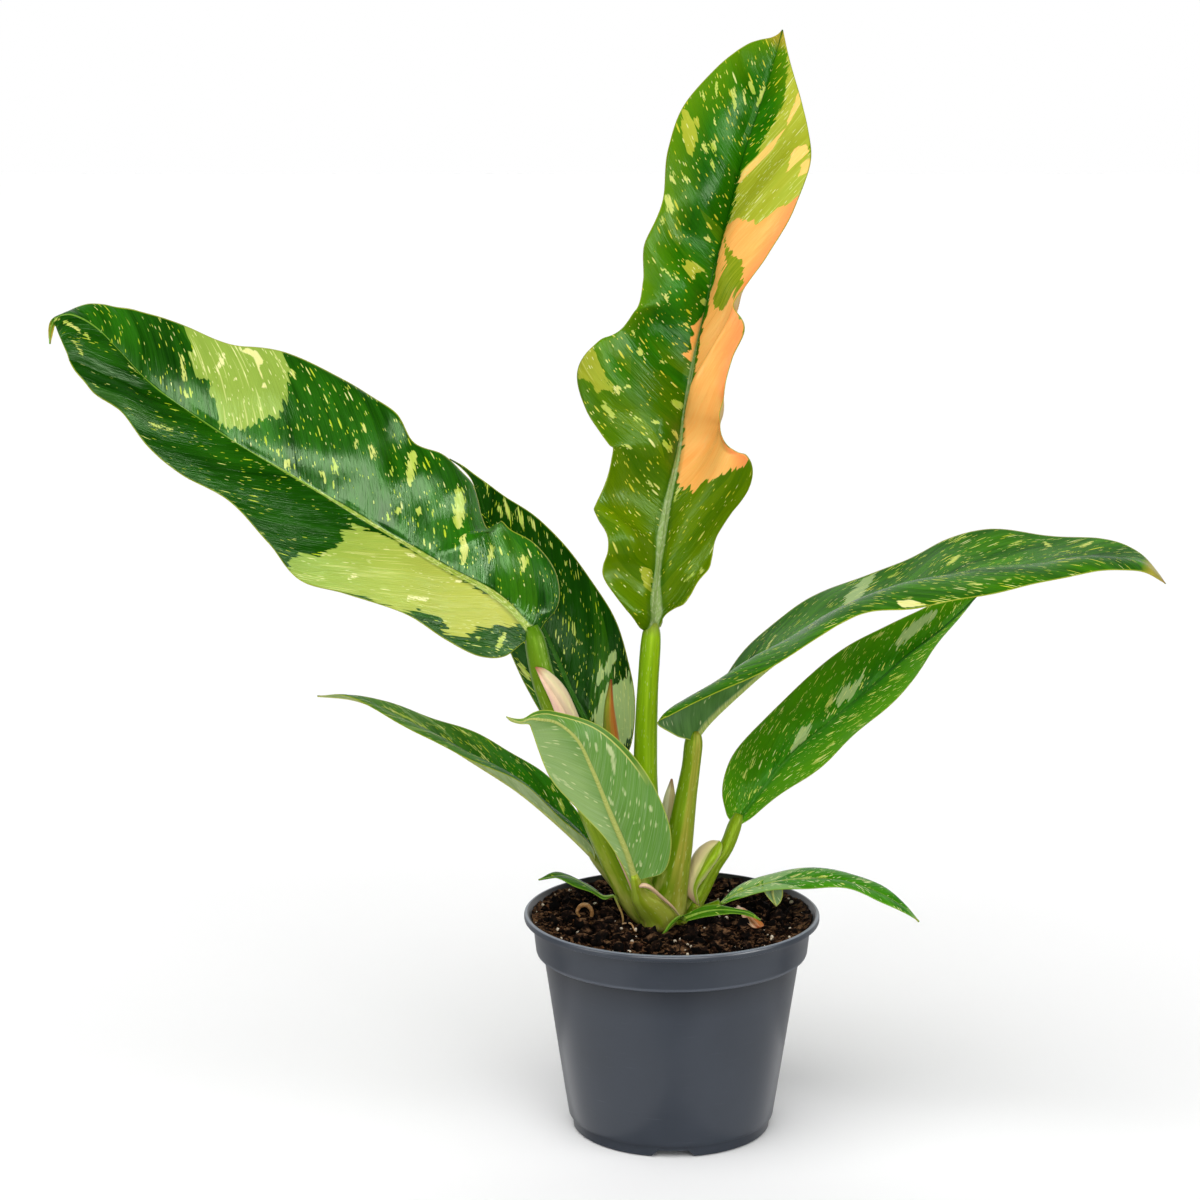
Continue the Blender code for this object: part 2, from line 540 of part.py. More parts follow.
def main():
    for old in list(bpy.data.objects):
        bpy.data.objects.remove(old)
    group = make_collection(OBJECT_NAME)
    cutters = make_collection(OBJECT_NAME + "_cutters")
    build_pot(group, cutters)

    core = evenly(smooth_curve(CROWN_CORE))
    crown = tube("crown", core, group, "stalk_green")
    sockets = [tube("core_socket", core, cutters, grow=GAP)]
    for name, stalk in STALKS.items():
        rooted, free = stalk_parts(stalk)
        root(name, rooted, crown, cutters, sockets)
        tube(name, free, group, "stalk_green")
        leaf_name = name.replace("_stalk", "_leaf")
        if leaf_name in LEAVES:
            finish = "leaf_underside" if leaf_name == "front_leaf" else "leaf_green"
            blade(leaf_name, LEAVES[leaf_name], free, (group, cutters), finish)

    root("front_fold", evenly(smooth_curve(CROWN_STUBS["front_fold"])), crown, cutters, sockets)
    for name, leaf in LOW_LEAVES.items():
        carrier = np.array(leaf["carrier"], float)
        if name == "left_shoot_leaf":
            tube("left_shoot_stalk", carrier, group, "stalk_green")
            sockets.append(tube("left_shoot_socket", carrier, cutters, grow=GAP))
        else:
            root(name, carrier, crown, cutters, sockets)
        finish = "bract_pink" if "bract" in name else "leaf_green"
        blade(name, leaf, carrier, (group, cutters), finish, THIN)

    dry = {line: on_soil(DRY_BRACT[line]) for line in ("carrier", "rib", "left", "right")}
    blade("dry_bract", dict(DRY_BRACT, **dry), np.array(dry["carrier"]), (group, cutters),
          "dry_brown", THIN)
    build_soil(group, sockets)


main()
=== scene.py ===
# %% [markdown]
# # A potted philodendron
# A young variegated philodendron in a 17 cm nursery pot. The plain solids that carry its size
# and weight are already made; here each of them gets its finished surface. The lesson goes
# from the outside in: light and camera, pot, soil, then how one leaf is made and coloured, and
# at last every leaf, stalk and sheath. Lengths in tables are millimetres.

# %% Load the frame
import math

import bmesh
import bpy
import numpy as np
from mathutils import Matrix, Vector, noise


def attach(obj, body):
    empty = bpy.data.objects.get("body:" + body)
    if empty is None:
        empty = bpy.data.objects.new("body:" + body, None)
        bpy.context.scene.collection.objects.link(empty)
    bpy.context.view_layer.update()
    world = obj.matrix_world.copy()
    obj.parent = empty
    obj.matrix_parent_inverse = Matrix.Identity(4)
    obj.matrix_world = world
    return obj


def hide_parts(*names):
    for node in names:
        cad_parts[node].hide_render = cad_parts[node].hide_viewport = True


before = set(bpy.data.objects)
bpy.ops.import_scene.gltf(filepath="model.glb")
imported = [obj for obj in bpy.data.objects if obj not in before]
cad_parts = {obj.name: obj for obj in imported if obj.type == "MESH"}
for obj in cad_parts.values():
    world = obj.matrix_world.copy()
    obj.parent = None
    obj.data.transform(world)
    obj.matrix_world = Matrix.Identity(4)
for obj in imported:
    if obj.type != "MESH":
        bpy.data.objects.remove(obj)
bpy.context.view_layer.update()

MM = 0.001
print("nodes to dress:", len(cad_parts))

# %% [markdown]
# Colours are picked as hex values, as a paint chart gives them. A shader works with linear
# light instead, so one function turns the first into the second. A second small function adds
# a shader node, sets it up and links it, which keeps each material readable. Natural skins are
# stacks of thin layers, so three more build what every skin here is made of: a sum of
# patterns, the place where several patterns overlap, and colours laid over one another. A
# pattern is faded in between two of its values, from no colour to full, or as far as the
# layer says.

# %% Colour and node helpers
def linear(code):
    """A colour given as hex, in the linear values that shaders work with."""
    channels = [int(code[i:i + 2], 16) / 255 for i in (1, 3, 5)]
    return tuple(c / 12.92 if c <= 0.04045 else ((c + 0.055) / 1.055) ** 2.4
                 for c in channels) + (1.0,)


def feed(tree, node, inputs):
    """Fills a node's inputs with values, hex colours, or other nodes and their outputs."""
    for key, value in (inputs.items() if isinstance(inputs, dict) else enumerate(inputs)):
        if isinstance(value, bpy.types.Node):
            value = next(output for output in value.outputs if output.enabled)
        if isinstance(value, bpy.types.NodeSocket):
            tree.links.new(value, node.inputs[key])
        else:
            node.inputs[key].default_value = linear(value) if isinstance(value, str) else value


def add(tree, kind, inputs=(), **settings):
    """Adds one node, sets it up and feeds it."""
    made = tree.nodes.new("ShaderNode" + kind)
    for key, value in settings.items():
        setattr(made, key, value)
    feed(tree, made, inputs)
    return made


def weighed(tree, *parts):
    """A sum in which each part is a pattern, or a number, and its weight."""
    total = 0.0
    for part, weight in parts:
        total = add(tree, "Math", [part, weight, total], operation="MULTIPLY_ADD")
    return total


def overlap(tree, *ramps):
    """Where all ramps are high; each is a pattern, the values it fades between, and its ends."""
    mask = 1.0
    for ramp in ramps:
        mask = add(tree, "Math", [mask, add(tree, "MapRange", ramp)], operation="MULTIPLY")
    return mask


def layered(tree, ground, *layers):
    """Colours laid over the ground in turn; each comes with its ramp, or with a mask alone."""
    for colour, mask, *ramp in layers:
        if ramp:
            mask = add(tree, "MapRange", [mask, *ramp])
        ground = add(tree, "Mix", {"Factor": mask, 6: ground, 7: colour}, data_type="RGBA")
    return ground


def new_material(name):
    """An empty material: its tree and its Principled shader."""
    material = bpy.data.materials.new(name)
    material.use_nodes = True
    return material, material.node_tree, material.node_tree.nodes["Principled BSDF"]


print("leaf green in linear light:", [round(c, 3) for c in linear("#2E7D0F")])

# %% [markdown]
# The camera stands 1.5 m in front of the plant, a little above the leaves' middle, and looks
# down by ten degrees, so that the pot shows its rim and the soil. A long lens keeps the pot's
# sides nearly parallel.

# %% Camera
camera = bpy.data.objects.new("camera", bpy.data.cameras.new("camera"))
bpy.context.collection.objects.link(camera)
camera.location = (-0.0413, -1.510, 0.588)
camera.rotation_euler = (math.radians(90 - 10.47), 0.0, 0.0)
camera.data.lens = 81.66
camera.data.sensor_width = 36.0
camera.data.clip_end = 60.0
bpy.context.scene.camera = camera
print("camera height, mm:", round(camera.location.z / MM))

# %% [markdown]
# A plant is usually shown on white with no hard shadows. Behind it hangs a tall white
# backdrop, and the white goes on low round the room, while the ceiling on the camera's side
# stays dark: a glossy leaf that mirrors a dark ceiling keeps its deep green. A strong lamp on
# the left and a weaker one on the right give the form, and a third fills the shadows from the
# front; all three are very wide. Three softboxes near the height of the leaves are seen by the
# gloss alone, so that they can be as bright as real ones and still not flatten the form. The
# pot's side leans, so that it mirrors what lies low: the backdrop's white is halved well below
# the horizon, and two white panels that lie beside the pot draw the soft bands down its
# flanks.

# %% Light
def soft_lamp(name, power, spread, turn, height):
    """A far lamp, spread degrees wide; turn is to the right of the camera's side, in degrees."""
    lamp = bpy.data.objects.new(name, bpy.data.lights.new(name, "SUN"))
    bpy.context.collection.objects.link(lamp)
    lamp.data.energy = power
    lamp.data.angle = math.radians(spread)
    turn, height = math.radians(turn), math.radians(height)
    aim = Vector((math.sin(turn) * math.cos(height), -math.cos(turn) * math.cos(height),
                  math.sin(height)))
    lamp.rotation_euler = aim.to_track_quat("Z", "Y").to_euler()
    return lamp


def softbox(name, shine, wide, tall, turn, distance, height, lying=False):
    """A lit white sheet that only the gloss sees, so that it gives sheen and no form."""
    box = bpy.data.objects.new(name, bpy.data.lights.new(name, "AREA"))
    bpy.context.collection.objects.link(box)
    box.data.shape, box.data.size, box.data.size_y = "RECTANGLE", wide, tall
    box.data.energy = shine * math.pi * wide * tall
    turn = math.radians(turn)
    box.location = (distance * math.sin(turn), -distance * math.cos(turn), height)
    away = Vector((math.sin(turn), -math.cos(turn), 0.0))
    box.rotation_euler = away.to_track_quat("Z", "Y").to_euler()
    if lying:
        box.rotation_euler = (math.pi, 0.0, turn)
    box.visible_diffuse = box.visible_camera = False


for name, power, spread, turn, height in (("key_lamp", 2.3, 58, -32, 58),
                                          ("fill_lamp", 0.9, 60, 48, 34),
                                          ("front_lamp", 0.9, 60, 8, 14)):
    soft_lamp(name, power, spread, turn, height).visible_glossy = False
softbox("front_softbox", 12.0, 0.9, 0.27, 0, 0.85, 0.325)
softbox("right_softbox", 17.0, 0.6, 0.5, 58, 1.3, 0.45)
softbox("left_softbox", 8.0, 0.6, 0.5, -62, 1.3, 0.38)
softbox("right_panel", 0.5, 0.26, 0.40, 62, 0.262, 0.002, lying=True)
softbox("left_panel", 0.7, 0.26, 0.40, -62, 0.262, 0.002, lying=True)
studio = bpy.data.worlds.new("studio")
bpy.context.scene.world = studio
studio.use_nodes = True
tree = studio.node_tree
toward = add(tree, "SeparateXYZ", [add(tree, "TexCoord").outputs["Generated"]]).outputs
behind = overlap(tree, (toward["Y"], 0.2, 0.6, 0.02, 1.0), (toward["Z"], -0.15, -0.035, 0.5, 1.0))
low_wall = add(tree, "MapRange", [toward["Z"], 0.05, 0.3, 0.2, 0.02])
white = add(tree, "Math", [behind, low_wall], operation="MAXIMUM")
feed(tree, tree.nodes["Background"], {"Strength": white, "Color": "#FFFFFF"})
bpy.context.scene.view_settings.view_transform = "Standard"

# %% [markdown]
# The floor is a wide sheet of matt white board. It throws light back up under the leaves,
# which is what keeps their undersides readable.

# %% Floor
mesh = bpy.data.meshes.new("floor")
sheet = bmesh.new()
bmesh.ops.create_grid(sheet, x_segments=8, y_segments=8, size=20.0)
sheet.to_mesh(mesh)
sheet.free()
floor = bpy.data.objects.new("floor", mesh)
bpy.context.collection.objects.link(floor)
floor.location.z = -0.0005
white_board, tree, shader = new_material("white_board")
feed(tree, shader, {"Base Color": "#F7F7F7", "Roughness": 0.9})
floor.data.materials.append(white_board)
floor.visible_glossy = False
print("floor, m:", [round(d) for d in floor.dimensions])

# %% [markdown]
# Nearly everything on this plant is a long soft form that follows a line, so the lesson needs
# a smooth curve through a few given points, and places along it that are evenly spaced.

# %% Curves and meshes
CURVE_STEPS = 16


def smooth_curve(points):
    """A smooth curve through the points; columns after x, y, z ride along."""
    points = np.array(points, float)
    steps = np.linalg.norm(np.diff(points[:, :3], axis=0), axis=1)
    knots = np.concatenate([[0.0], np.cumsum(np.sqrt(steps))])
    slopes = np.gradient(points, knots, axis=0)
    curve = []
    for i, span in enumerate(np.diff(knots)):
        for t in np.linspace(0.0, 1.0, CURVE_STEPS, endpoint=False):
            start = (1 + 2 * t) * (1 - t) ** 2 * points[i] + t * (1 - t) ** 2 * span * slopes[i]
            end = t * t * (3 - 2 * t) * points[i + 1] - t * t * (1 - t) * span * slopes[i + 1]
            curve.append(start + end)
    curve.append(points[-1])
    return np.array(curve)


def lengths(curve):
    """How far along the curve each of its points is."""
    steps = np.linalg.norm(np.diff(curve[:, :3], axis=0), axis=1)
    return np.concatenate([[0.0], np.cumsum(steps)])


def along_curve(curve, shares):
    """The curve's points at these shares of its length."""
    length = lengths(curve)
    columns = [np.interp(np.array(shares) * length[-1], length, column) for column in curve.T]
    return np.stack(columns, axis=-1)


def unit(vectors):
    """The vectors at length 1."""
    return vectors / np.maximum(np.linalg.norm(vectors, axis=-1, keepdims=True), 1e-9)


def piece_from(name, points, faces, materials, slot, *nodes):
    """A finished piece of the plant from its points in millimetres."""
    mesh = bpy.data.meshes.new(name)
    mesh.from_pydata((np.asarray(points) * MM).tolist(), [], [tuple(face) for face in faces])
    mesh.shade_smooth()
    piece = bpy.data.objects.new(name, mesh)
    bpy.context.collection.objects.link(piece)
    for material in materials:
        mesh.materials.append(material)
    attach(piece, "root")
    if nodes:
        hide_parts(*nodes)
    return piece


def write_numbers(mesh, **columns):
    """Stores one number per point for the shaders to read."""
    for name, values in columns.items():
        mesh.attributes.new(name, "FLOAT", "POINT").data.foreach_set(
            "value", np.asarray(values, np.float32).ravel())


def write_uv(mesh, name, places):
    """Stores two lengths per point, in millimetres, as a UV map in metres."""
    corners = np.empty(len(mesh.loops), np.int64)
    mesh.loops.foreach_get("vertex_index", corners)
    mesh.uv_layers.new(name=name).data.foreach_set(
        "uv", (np.asarray(places)[corners] * MM).astype(np.float32).ravel())


print("a test curve, mm:", round(lengths(smooth_curve([(0, 0, 0), (30, 0, 40)]))[-1], 1))

# %% [markdown]
# ## The pot
# A nursery pot is injection-moulded polypropylene, a little over a millimetre and a half
# thick. Its shape is turned, so it is drawn as one profile from the middle of the floor, up
# the inner wall, over the rolled lip and down the outside. Four notches in the foot ring and
# eight square holes in the floor let water out, and both are cut with blocks as the mould's
# inserts would.

# %% The pot's shape
POT_INSIDE = [(0, 1.8), (13.1, 1.8), (14.1, 6), (55.6, 6), (57.9, 8.3), (72.1, 103.6),
              (76.6, 105.8), (78.4, 119.5), (78.9, 121.2), (80.7, 124.2), (82.2, 126)]
POT_LIP = [(82.6, 126.6), (83.4, 127), (84.2, 126.9), (84.8, 126.3), (85, 125.5), (85, 123.9),
           (84.8, 123.4), (84.4, 123.2), (81.2, 123.2), (80.5, 122.9)]
POT_OUTSIDE = [(80.2, 122.2), (79.2, 114), (78.3, 106), (78.2, 105), (77.9, 104.1),
               (77.2, 103.6), (74.6, 103.5), (74.1, 103.3), (73.9, 102.6), (70.8, 82), (66.2, 51),
               (61.8, 22), (59.7, 8.4), (59.5, 7.3), (59.1, 6.6), (57.7, 6.2), (57.5, 5.8),
               (57.4, 0.7), (57.2, 0.2), (56.7, 0)]
POT_UNDERSIDE = [(55, 0), (54.6, 0.4), (54.4, 4), (16, 4), (15, 0), (0, 0)]
POT_STEPS = 192


def turned(profile, steps):
    """Points and faces of a closed turned form; the profile starts and ends on the axis."""
    ring = profile[1:-1]
    angles = np.arange(steps) * 2 * math.pi / steps
    points = [(0, 0, profile[0][1]), (0, 0, profile[-1][1])]
    points += [(r * math.cos(a), r * math.sin(a), z) for r, z in ring for a in angles]
    faces = []
    for k in range(steps):
        after = (k + 1) % steps
        faces.append((0, 2 + k, 2 + after))
        for i in range(len(ring) - 1):
            low, high = 2 + i * steps, 2 + (i + 1) * steps
            faces.append((low + k, high + k, high + after, low + after))
        last = 2 + (len(ring) - 1) * steps
        faces.append((1, last + after, last + k))
    return points, faces


def pot_cutter(name, corners_low, corners_high):
    """A hidden block between two rectangles, in millimetres, that cuts the pot."""
    points = [(x, y, z) for corners in (corners_low, corners_high) for x, y, z in corners]
    faces = [(3, 2, 1, 0), (4, 5, 6, 7), (0, 1, 5, 4), (1, 2, 6, 5), (2, 3, 7, 6), (3, 0, 4, 7)]
    mesh = bpy.data.meshes.new(name)
    mesh.from_pydata((np.array(points) * MM).tolist(), [], faces)
    return bpy.data.objects.new(name, mesh)


def cut(piece, cutter):
    """Cuts the block out of the piece and throws the block away."""
    bpy.context.collection.objects.link(cutter)
    modifier = piece.modifiers.new("cut", "BOOLEAN")
    modifier.operation, modifier.solver, modifier.object = "DIFFERENCE", "EXACT", cutter
    bpy.context.view_layer.update()
    shape = bpy.data.meshes.new_from_object(
        piece.evaluated_get(bpy.context.evaluated_depsgraph_get()))
    piece.modifiers.clear()
    piece.data = shape
    bpy.data.objects.remove(cutter)


points, faces = turned(POT_INSIDE + POT_LIP + POT_OUTSIDE + POT_UNDERSIDE, POT_STEPS)
pot = piece_from("moulded_pot", points, faces, [], "pot_plastic", "pot")
for notch in range(4):
    turn = notch * math.pi / 2 - math.pi / 2
    c, s = math.cos(turn), math.sin(turn)

    def around(r, across, z):
        return r * c - across * s, r * s + across * c, z

    low = [around(r, a, -1.0) for r, a in ((48, -13.4), (66, -13.4), (66, 13.4), (48, 13.4))]
    high = [around(r, a, 3.7) for r, a in ((48, -8.5), (66, -8.5), (66, 8.5), (48, 8.5))]
    cut(pot, pot_cutter("notch_cutter", low, high))
HOLES, HOLE_CIRCLE, HALF_HOLE = 8, 38.0, 3.4
CORNERS = ((-1, -1), (1, -1), (1, 1), (-1, 1))
for hole in range(HOLES):
    turn = (hole + 0.5) * 2 * math.pi / HOLES
    x, y = HOLE_CIRCLE * math.cos(turn), HOLE_CIRCLE * math.sin(turn)
    square = [(x + i * HALF_HOLE, y + j * HALF_HOLE) for i, j in CORNERS]
    cut(pot, pot_cutter("drain_cutter", [(*p, 3.0) for p in square], [(*p, 9.0) for p in square]))
pot.data.shade_smooth()
pot.data.set_sharp_from_angle(angle=math.radians(32))
print("pot faces:", len(pot.data.polygons))

# %% [markdown]
# Polypropylene leaves the mould with a satin skin. Up close the skin is faintly grained, since
# the mould was sand-blasted, and a used pot carries fine scuffs. The slate grey pigment is
# mixed all through, so scuffs look only slightly paler. Thin pale lines along the lip's top and
# along the lower edge of the shoulder are painted highlights, the wall just below the shoulder
# is darkened with painted shade, and the inside wall is painted nearly black as painted shade.

# %% Moulded polypropylene
slate_polypropylene, tree, shader = new_material("slate_polypropylene")
place = add(tree, "TexCoord").outputs["Object"]
grain = add(tree, "TexNoise", {"Vector": place, "Scale": 900.0, "Detail": 2.0})
cloud = add(tree, "TexNoise", {"Vector": place, "Scale": 22.0, "Detail": 4.0, "Roughness": 0.6})
flow = add(tree, "Mapping", {"Vector": place, "Scale": (60.0, 60.0, 1500.0)})
scratch = add(tree, "TexNoise", {"Vector": flow, "Scale": 1.0, "Detail": 3.0})
outward = add(tree, "VectorMath", [place, (1.0, 1.0, 0.0)], operation="MULTIPLY")
radius = add(tree, "VectorMath", [outward], operation="LENGTH")
height = add(tree, "SeparateXYZ", [place]).outputs["Z"]
facing_out = add(tree, "VectorMath", [add(tree, "NewGeometry").outputs["True Normal"], outward],
                 operation="DOT_PRODUCT")


def band(strength, heights, radii):
    """A band round the pot: where it starts, is full, ends and is gone, in metres."""
    return overlap(tree, (height, *heights[:2]), (height, *heights[2:], 1.0, 0.0),
                   (radius, *radii[:2]), (radius, *radii[2:], strength, 0.0))


skin = layered(
    tree, "#31363E", ("#3A404A", cloud), ("#5C6068", scratch, 0.66, 0.78, 0.0, 0.25),
    # painted shade: every inward-facing surface, the inside wall first, is painted nearly black
    ("#0C0A09", facing_out, -0.005, -0.02, 0.0, 0.9),
    # painted shade on the wall just below the shoulder's ledge
    ("#23272E", band(0.8, (0.085, 0.1034, 0.1036, 0.1040), (0.06, 0.062, 0.0772, 0.0776))),
    # painted highlight: a pale line along the shoulder's lower edge
    ("#5A606B", band(0.5, (0.1038, 0.1044, 0.1050, 0.1060), (0.0774, 0.0777, 0.09, 0.1))),
    # painted highlight: a pale line along the top of the lip
    ("#7B828C", band(0.8, (0.1262, 0.1266, 0.2, 0.3), (0.0830, 0.0834, 0.0845, 0.0849))))
sheen = add(tree, "MapRange", [cloud, 0.3, 0.7, 0.28, 0.36])
bump = add(tree, "Bump", {"Strength": 0.12, "Distance": 0.0002, "Height": grain})
feed(tree, shader, {"Base Color": skin, "Roughness": sheen, "Normal": bump, "IOR": 1.49,
                    "Specular IOR Level": 0.4})
pot.data.materials.append(slate_polypropylene)
print("pot finish:", slate_polypropylene.name)

# %% [markdown]
# ## The soil
# Potting soil is fine dark peat with crumbs of a few millimetres and softer clumps of up to a
# centimetre, short fibres, a few chips of bark and grains of white perlite. Its top is
# modelled as a disc that noise pushes up and down, and the grains lie on it as small lumpy
# stones with their own colours.

# %% The soil's surface
SOIL_LEVEL, SOIL_EDGE = 119.8, 80.6
HEAP = 1.6
# each mound is x, y, how wide and how high; the quiet spot, round the stalks, is x, y and width
MOUNDS = [(-33, -14, 8, 4.5), (-46, 30, 14, 2.0), (12, -4, 7, 2.5), (-5, -25, 8, -3.6)]
QUIET = (-8, -18, 13)


def soil_height(x, y):
    """Height of the soil's uneven top, in millimetres."""
    fade = 1 - min(1.0, math.hypot(x, y) / SOIL_EDGE) ** 4
    waves = math.sin(x / 13 + 0.6) * math.cos(y / 15) + 0.5 * math.sin((x + 2 * y) / 19)
    return SOIL_LEVEL + 1.3 * fade * waves


def crumbly(x, y):
    """The soil's height with its lumps; loose crumbs are heaped up along the pot's wall."""
    coarse = noise.noise(Vector((x / 8, y / 8, 3.1)))
    fine = noise.noise(Vector((x / 3.1, y / 3.1, 8.7)))
    tiny = noise.noise(Vector((x / 1.3, y / 1.3, 1.3)))
    wall = min(1.0, math.hypot(x, y) / SOIL_EDGE) ** 10
    lumps = 2.2 * coarse + 1.9 * fine + 0.7 * tiny
    near = math.exp(-((x - QUIET[0]) ** 2 + (y - QUIET[1]) ** 2) / (2 * QUIET[2] ** 2))
    lumps = lumps * (1 - 0.8 * near)
    mound = sum(h * math.exp(-((x - a) ** 2 + (y - b) ** 2) / (2 * s * s))
                for a, b, s, h in MOUNDS)
    return soil_height(x, y) + HEAP + 3.4 * wall + mound + lumps * (1 - 0.5 * wall)


rings, steps = 110, 380
points = [(0.0, 0.0, crumbly(0, 0))]
for ring in range(1, rings + 1):
    radius = SOIL_EDGE * ring / rings
    for k in range(steps):
        x, y = (radius * f(2 * math.pi * k / steps) for f in (math.cos, math.sin))
        points.append((x, y, crumbly(x, y)))
faces = [(0, 1 + k, 1 + (k + 1) % steps) for k in range(steps)]
for ring in range(rings - 1):
    inner, outer = 1 + ring * steps, 1 + (ring + 1) * steps
    faces += [(inner + k, outer + k, outer + (k + 1) % steps, inner + (k + 1) % steps)
              for k in range(steps)]
# the buried body of the soil goes down to the pot's floor
wall = [(77.9, 120.0), (74.6, 105.0), (71.6, 103.0), (57.6, 9.0), (55.0, 6.4)]
outer = 1 + (rings - 1) * steps
turns = [2 * math.pi * k / steps for k in range(steps)]
for radius, height in wall:
    start = len(points)
    points += [(radius * math.cos(turn), radius * math.sin(turn), height) for turn in turns]
    faces += [(outer + k, start + k, start + (k + 1) % steps, outer + (k + 1) % steps)
              for k in range(steps)]
    outer = start
faces.append(tuple(outer + k for k in reversed(range(steps))))
soil = piece_from("peat_bed", points, faces, [], "peat", "soil")
print("soil faces:", len(soil.data.polygons))

# %% [markdown]
# Peat is almost black where it is wet and rusty brown where it has dried. The browns are mixed
# by noise at the size of crumbs, facets that face up are painted lighter and those that face
# down darker, as painted light and shade, and the finest grain is left to bump.

# %% Peat
def earthy(name, dark, middle, light, grain_mm, rough=0.95):
    """Crumbly matter: three tones mixed at the size of its grain."""
    material, tree, shader = new_material(name)
    place = add(tree, "TexCoord").outputs["Object"]
    lump = add(tree, "TexNoise", {"Vector": place, "Scale": 1000 / grain_mm, "Detail": 5.0,
                                  "Roughness": 0.65})
    dust = add(tree, "TexNoise", {"Vector": place, "Scale": 250 / grain_mm, "Detail": 3.0})
    # painted light and shade: facets that face up are lighter, those that face down darker
    up = add(tree, "SeparateXYZ", [add(tree, "NewGeometry").outputs["True Normal"]]).outputs["Z"]
    dry = add(tree, "MapRange", [up, 0.2, 1.0, -0.12, 0.10])
    ramp = add(tree, "ValToRGB", [weighed(tree, (lump, 1.0), (dry, 1.0))])
    ramp.color_ramp.elements[0].position, ramp.color_ramp.elements[1].position = 0.41, 0.69
    ramp.color_ramp.elements[0].color = linear(dark)
    ramp.color_ramp.elements[1].color = linear(light)
    ramp.color_ramp.elements.new(0.55).color = linear(middle)
    bump = add(tree, "Bump", {"Strength": 0.8, "Distance": 0.0006, "Height": lump})
    feed(tree, shader, {"Base Color": layered(tree, ramp, (dark, dust)), "Roughness": rough,
                        "Normal": bump, "Specular IOR Level": 0.06})
    return material


moist_peat = earthy("moist_peat", "#040201", "#27150B", "#8E6848", 4.4)
dry_crumb = earthy("dry_crumb", "#1C0E07", "#5A3822", "#9A7050", 1.8)
bark_chip = earthy("bark_chip", "#3A2114", "#6E4526", "#A8764A", 2.6, 0.8)
white_perlite = earthy("white_perlite", "#B8A890", "#E6DDCB", "#F4EFE4", 1.1, 0.9)
soil.data.materials.append(moist_peat)
print("soil finishes:", moist_peat.name, dry_crumb.name, bark_chip.name, white_perlite.name)

# %% [markdown]
# The grains are scattered by a seeded dice, so that the bed is the same every time. Each one is
# a ball of few faces, squashed and dented on its own. Thousands of separate objects would be
# slow, so all grains of a kind go into one mesh.

# %% Grains on the soil
dice = np.random.default_rng(17)


def ball(detail):
    """Points and faces of a unit ball."""
    made = bmesh.new()
    bmesh.ops.create_icosphere(made, subdivisions=detail, radius=1.0)
    points = np.array([v.co[:] for v in made.verts])
    faces = np.array([[v.index for v in f.verts] for f in made.faces])
    made.free()
    return points, faces


def scattered(name, count, sizes, squash, material, detail=1, dent=0.25, sink=0.3, keep_out=()):
    """One mesh of many small lumps on the soil; sizes are diameters in millimetres."""
    shape, faces = ball(detail)
    all_points, all_faces = [], []
    while len(all_points) < count:
        x, y = dice.uniform(-80, 80, 2)
        size = sizes[0] + (sizes[1] - sizes[0]) * dice.uniform() ** 2
        if math.hypot(x, y) > 80.5 - size:
            continue
        if any(math.hypot(x - a, y - b) < r for a, b, r in keep_out):
            continue
        stretch = size / 2 * np.array([1.0, dice.uniform(squash, 1.0), dice.uniform(squash, 1.0)])
        lump = shape * (1 + dent * dice.uniform(-1, 1, (len(shape), 1))) * stretch
        turn = Vector(dice.normal(size=3)).to_track_quat("Z", "Y").to_matrix()
        lump = lump @ np.array(turn)
        lump += (x, y, crumbly(x, y) + size * (0.5 - sink) * squash)
        all_faces.append(faces + len(shape) * len(all_points))
        all_points.append(lump)
    piece = piece_from(name, np.concatenate(all_points), np.concatenate(all_faces).tolist(),
                       [material], "peat")
    piece.data.shade_flat()
    return piece


STEMS = [(-8, 2, 15), (-24, -6, 9), (12, 4, 9), (-20, 10, 8), (-7, -14, 12)]
peat_clumps = scattered("peat_clumps", 300, (4.0, 11.0), 0.6, moist_peat, 2, 0.42, 0.30, STEMS)
peat_crumbs = scattered("peat_crumbs", 1900, (1.2, 4.2), 0.6, moist_peat, 1, 0.34, 0.55, STEMS)
dry_crumbs = scattered("dry_crumbs", 420, (0.9, 3.4), 0.5, dry_crumb, 1, 0.34, 0.5, STEMS)
bark_chips = scattered("bark_chips", 60, (2.0, 5.5), 0.3, bark_chip, 1, 0.3, 0.5, STEMS)
perlite = scattered("perlite_grains", 130, (0.8, 3.2), 0.7, white_perlite, 2, 0.12, -0.2, STEMS)
print("grains:", sum(len(p.data.polygons) for p in (peat_clumps, peat_crumbs, dry_crumbs,
                                                    bark_chips, perlite)), "faces")

# %% [markdown]
# ## How a leaf is made
# A leaf is a thin sheet hung on its midrib. Three lines give its shape: the midrib and the two
# margins. A grid is laid between them, then each half is bulged a little, the side veins are
# pressed in, and the whole is given a front, a back and a thin rim, so that it is one closed
# skin. A cloth simulation would fold it in its own way; drawn lines keep each wave in place.

# %% The grid between midrib and margins
BASE_HALF = 3.4
ROW_STEP = 1.5
HALF_COLUMNS = 40


def blade_lines(leaf, end, direction):
    """Midrib, left and right margin, closed at the stalk's end and at the tip."""
    base = end + 0.45 * direction
    rib = [base, *leaf["rib"]]
    first = np.subtract(leaf["right"][0], leaf["left"][0]).astype(float)
    last = np.subtract(leaf["right"][-1], leaf["left"][-1]).astype(float)
    tip = np.array(rib[-1], float)
    tip_direction = unit(tip - rib[-2])
    base_side = unit(first - direction * first.dot(direction)) * leaf.get("half", BASE_HALF)
    tip_side = unit(last - tip_direction * last.dot(tip_direction)) * 0.3
    left = [base - base_side, *leaf["left"], tip - tip_side]
    right = [base + base_side, *leaf["right"], tip + tip_side]
    return [smooth_curve(line) for line in (rib, left, right)]


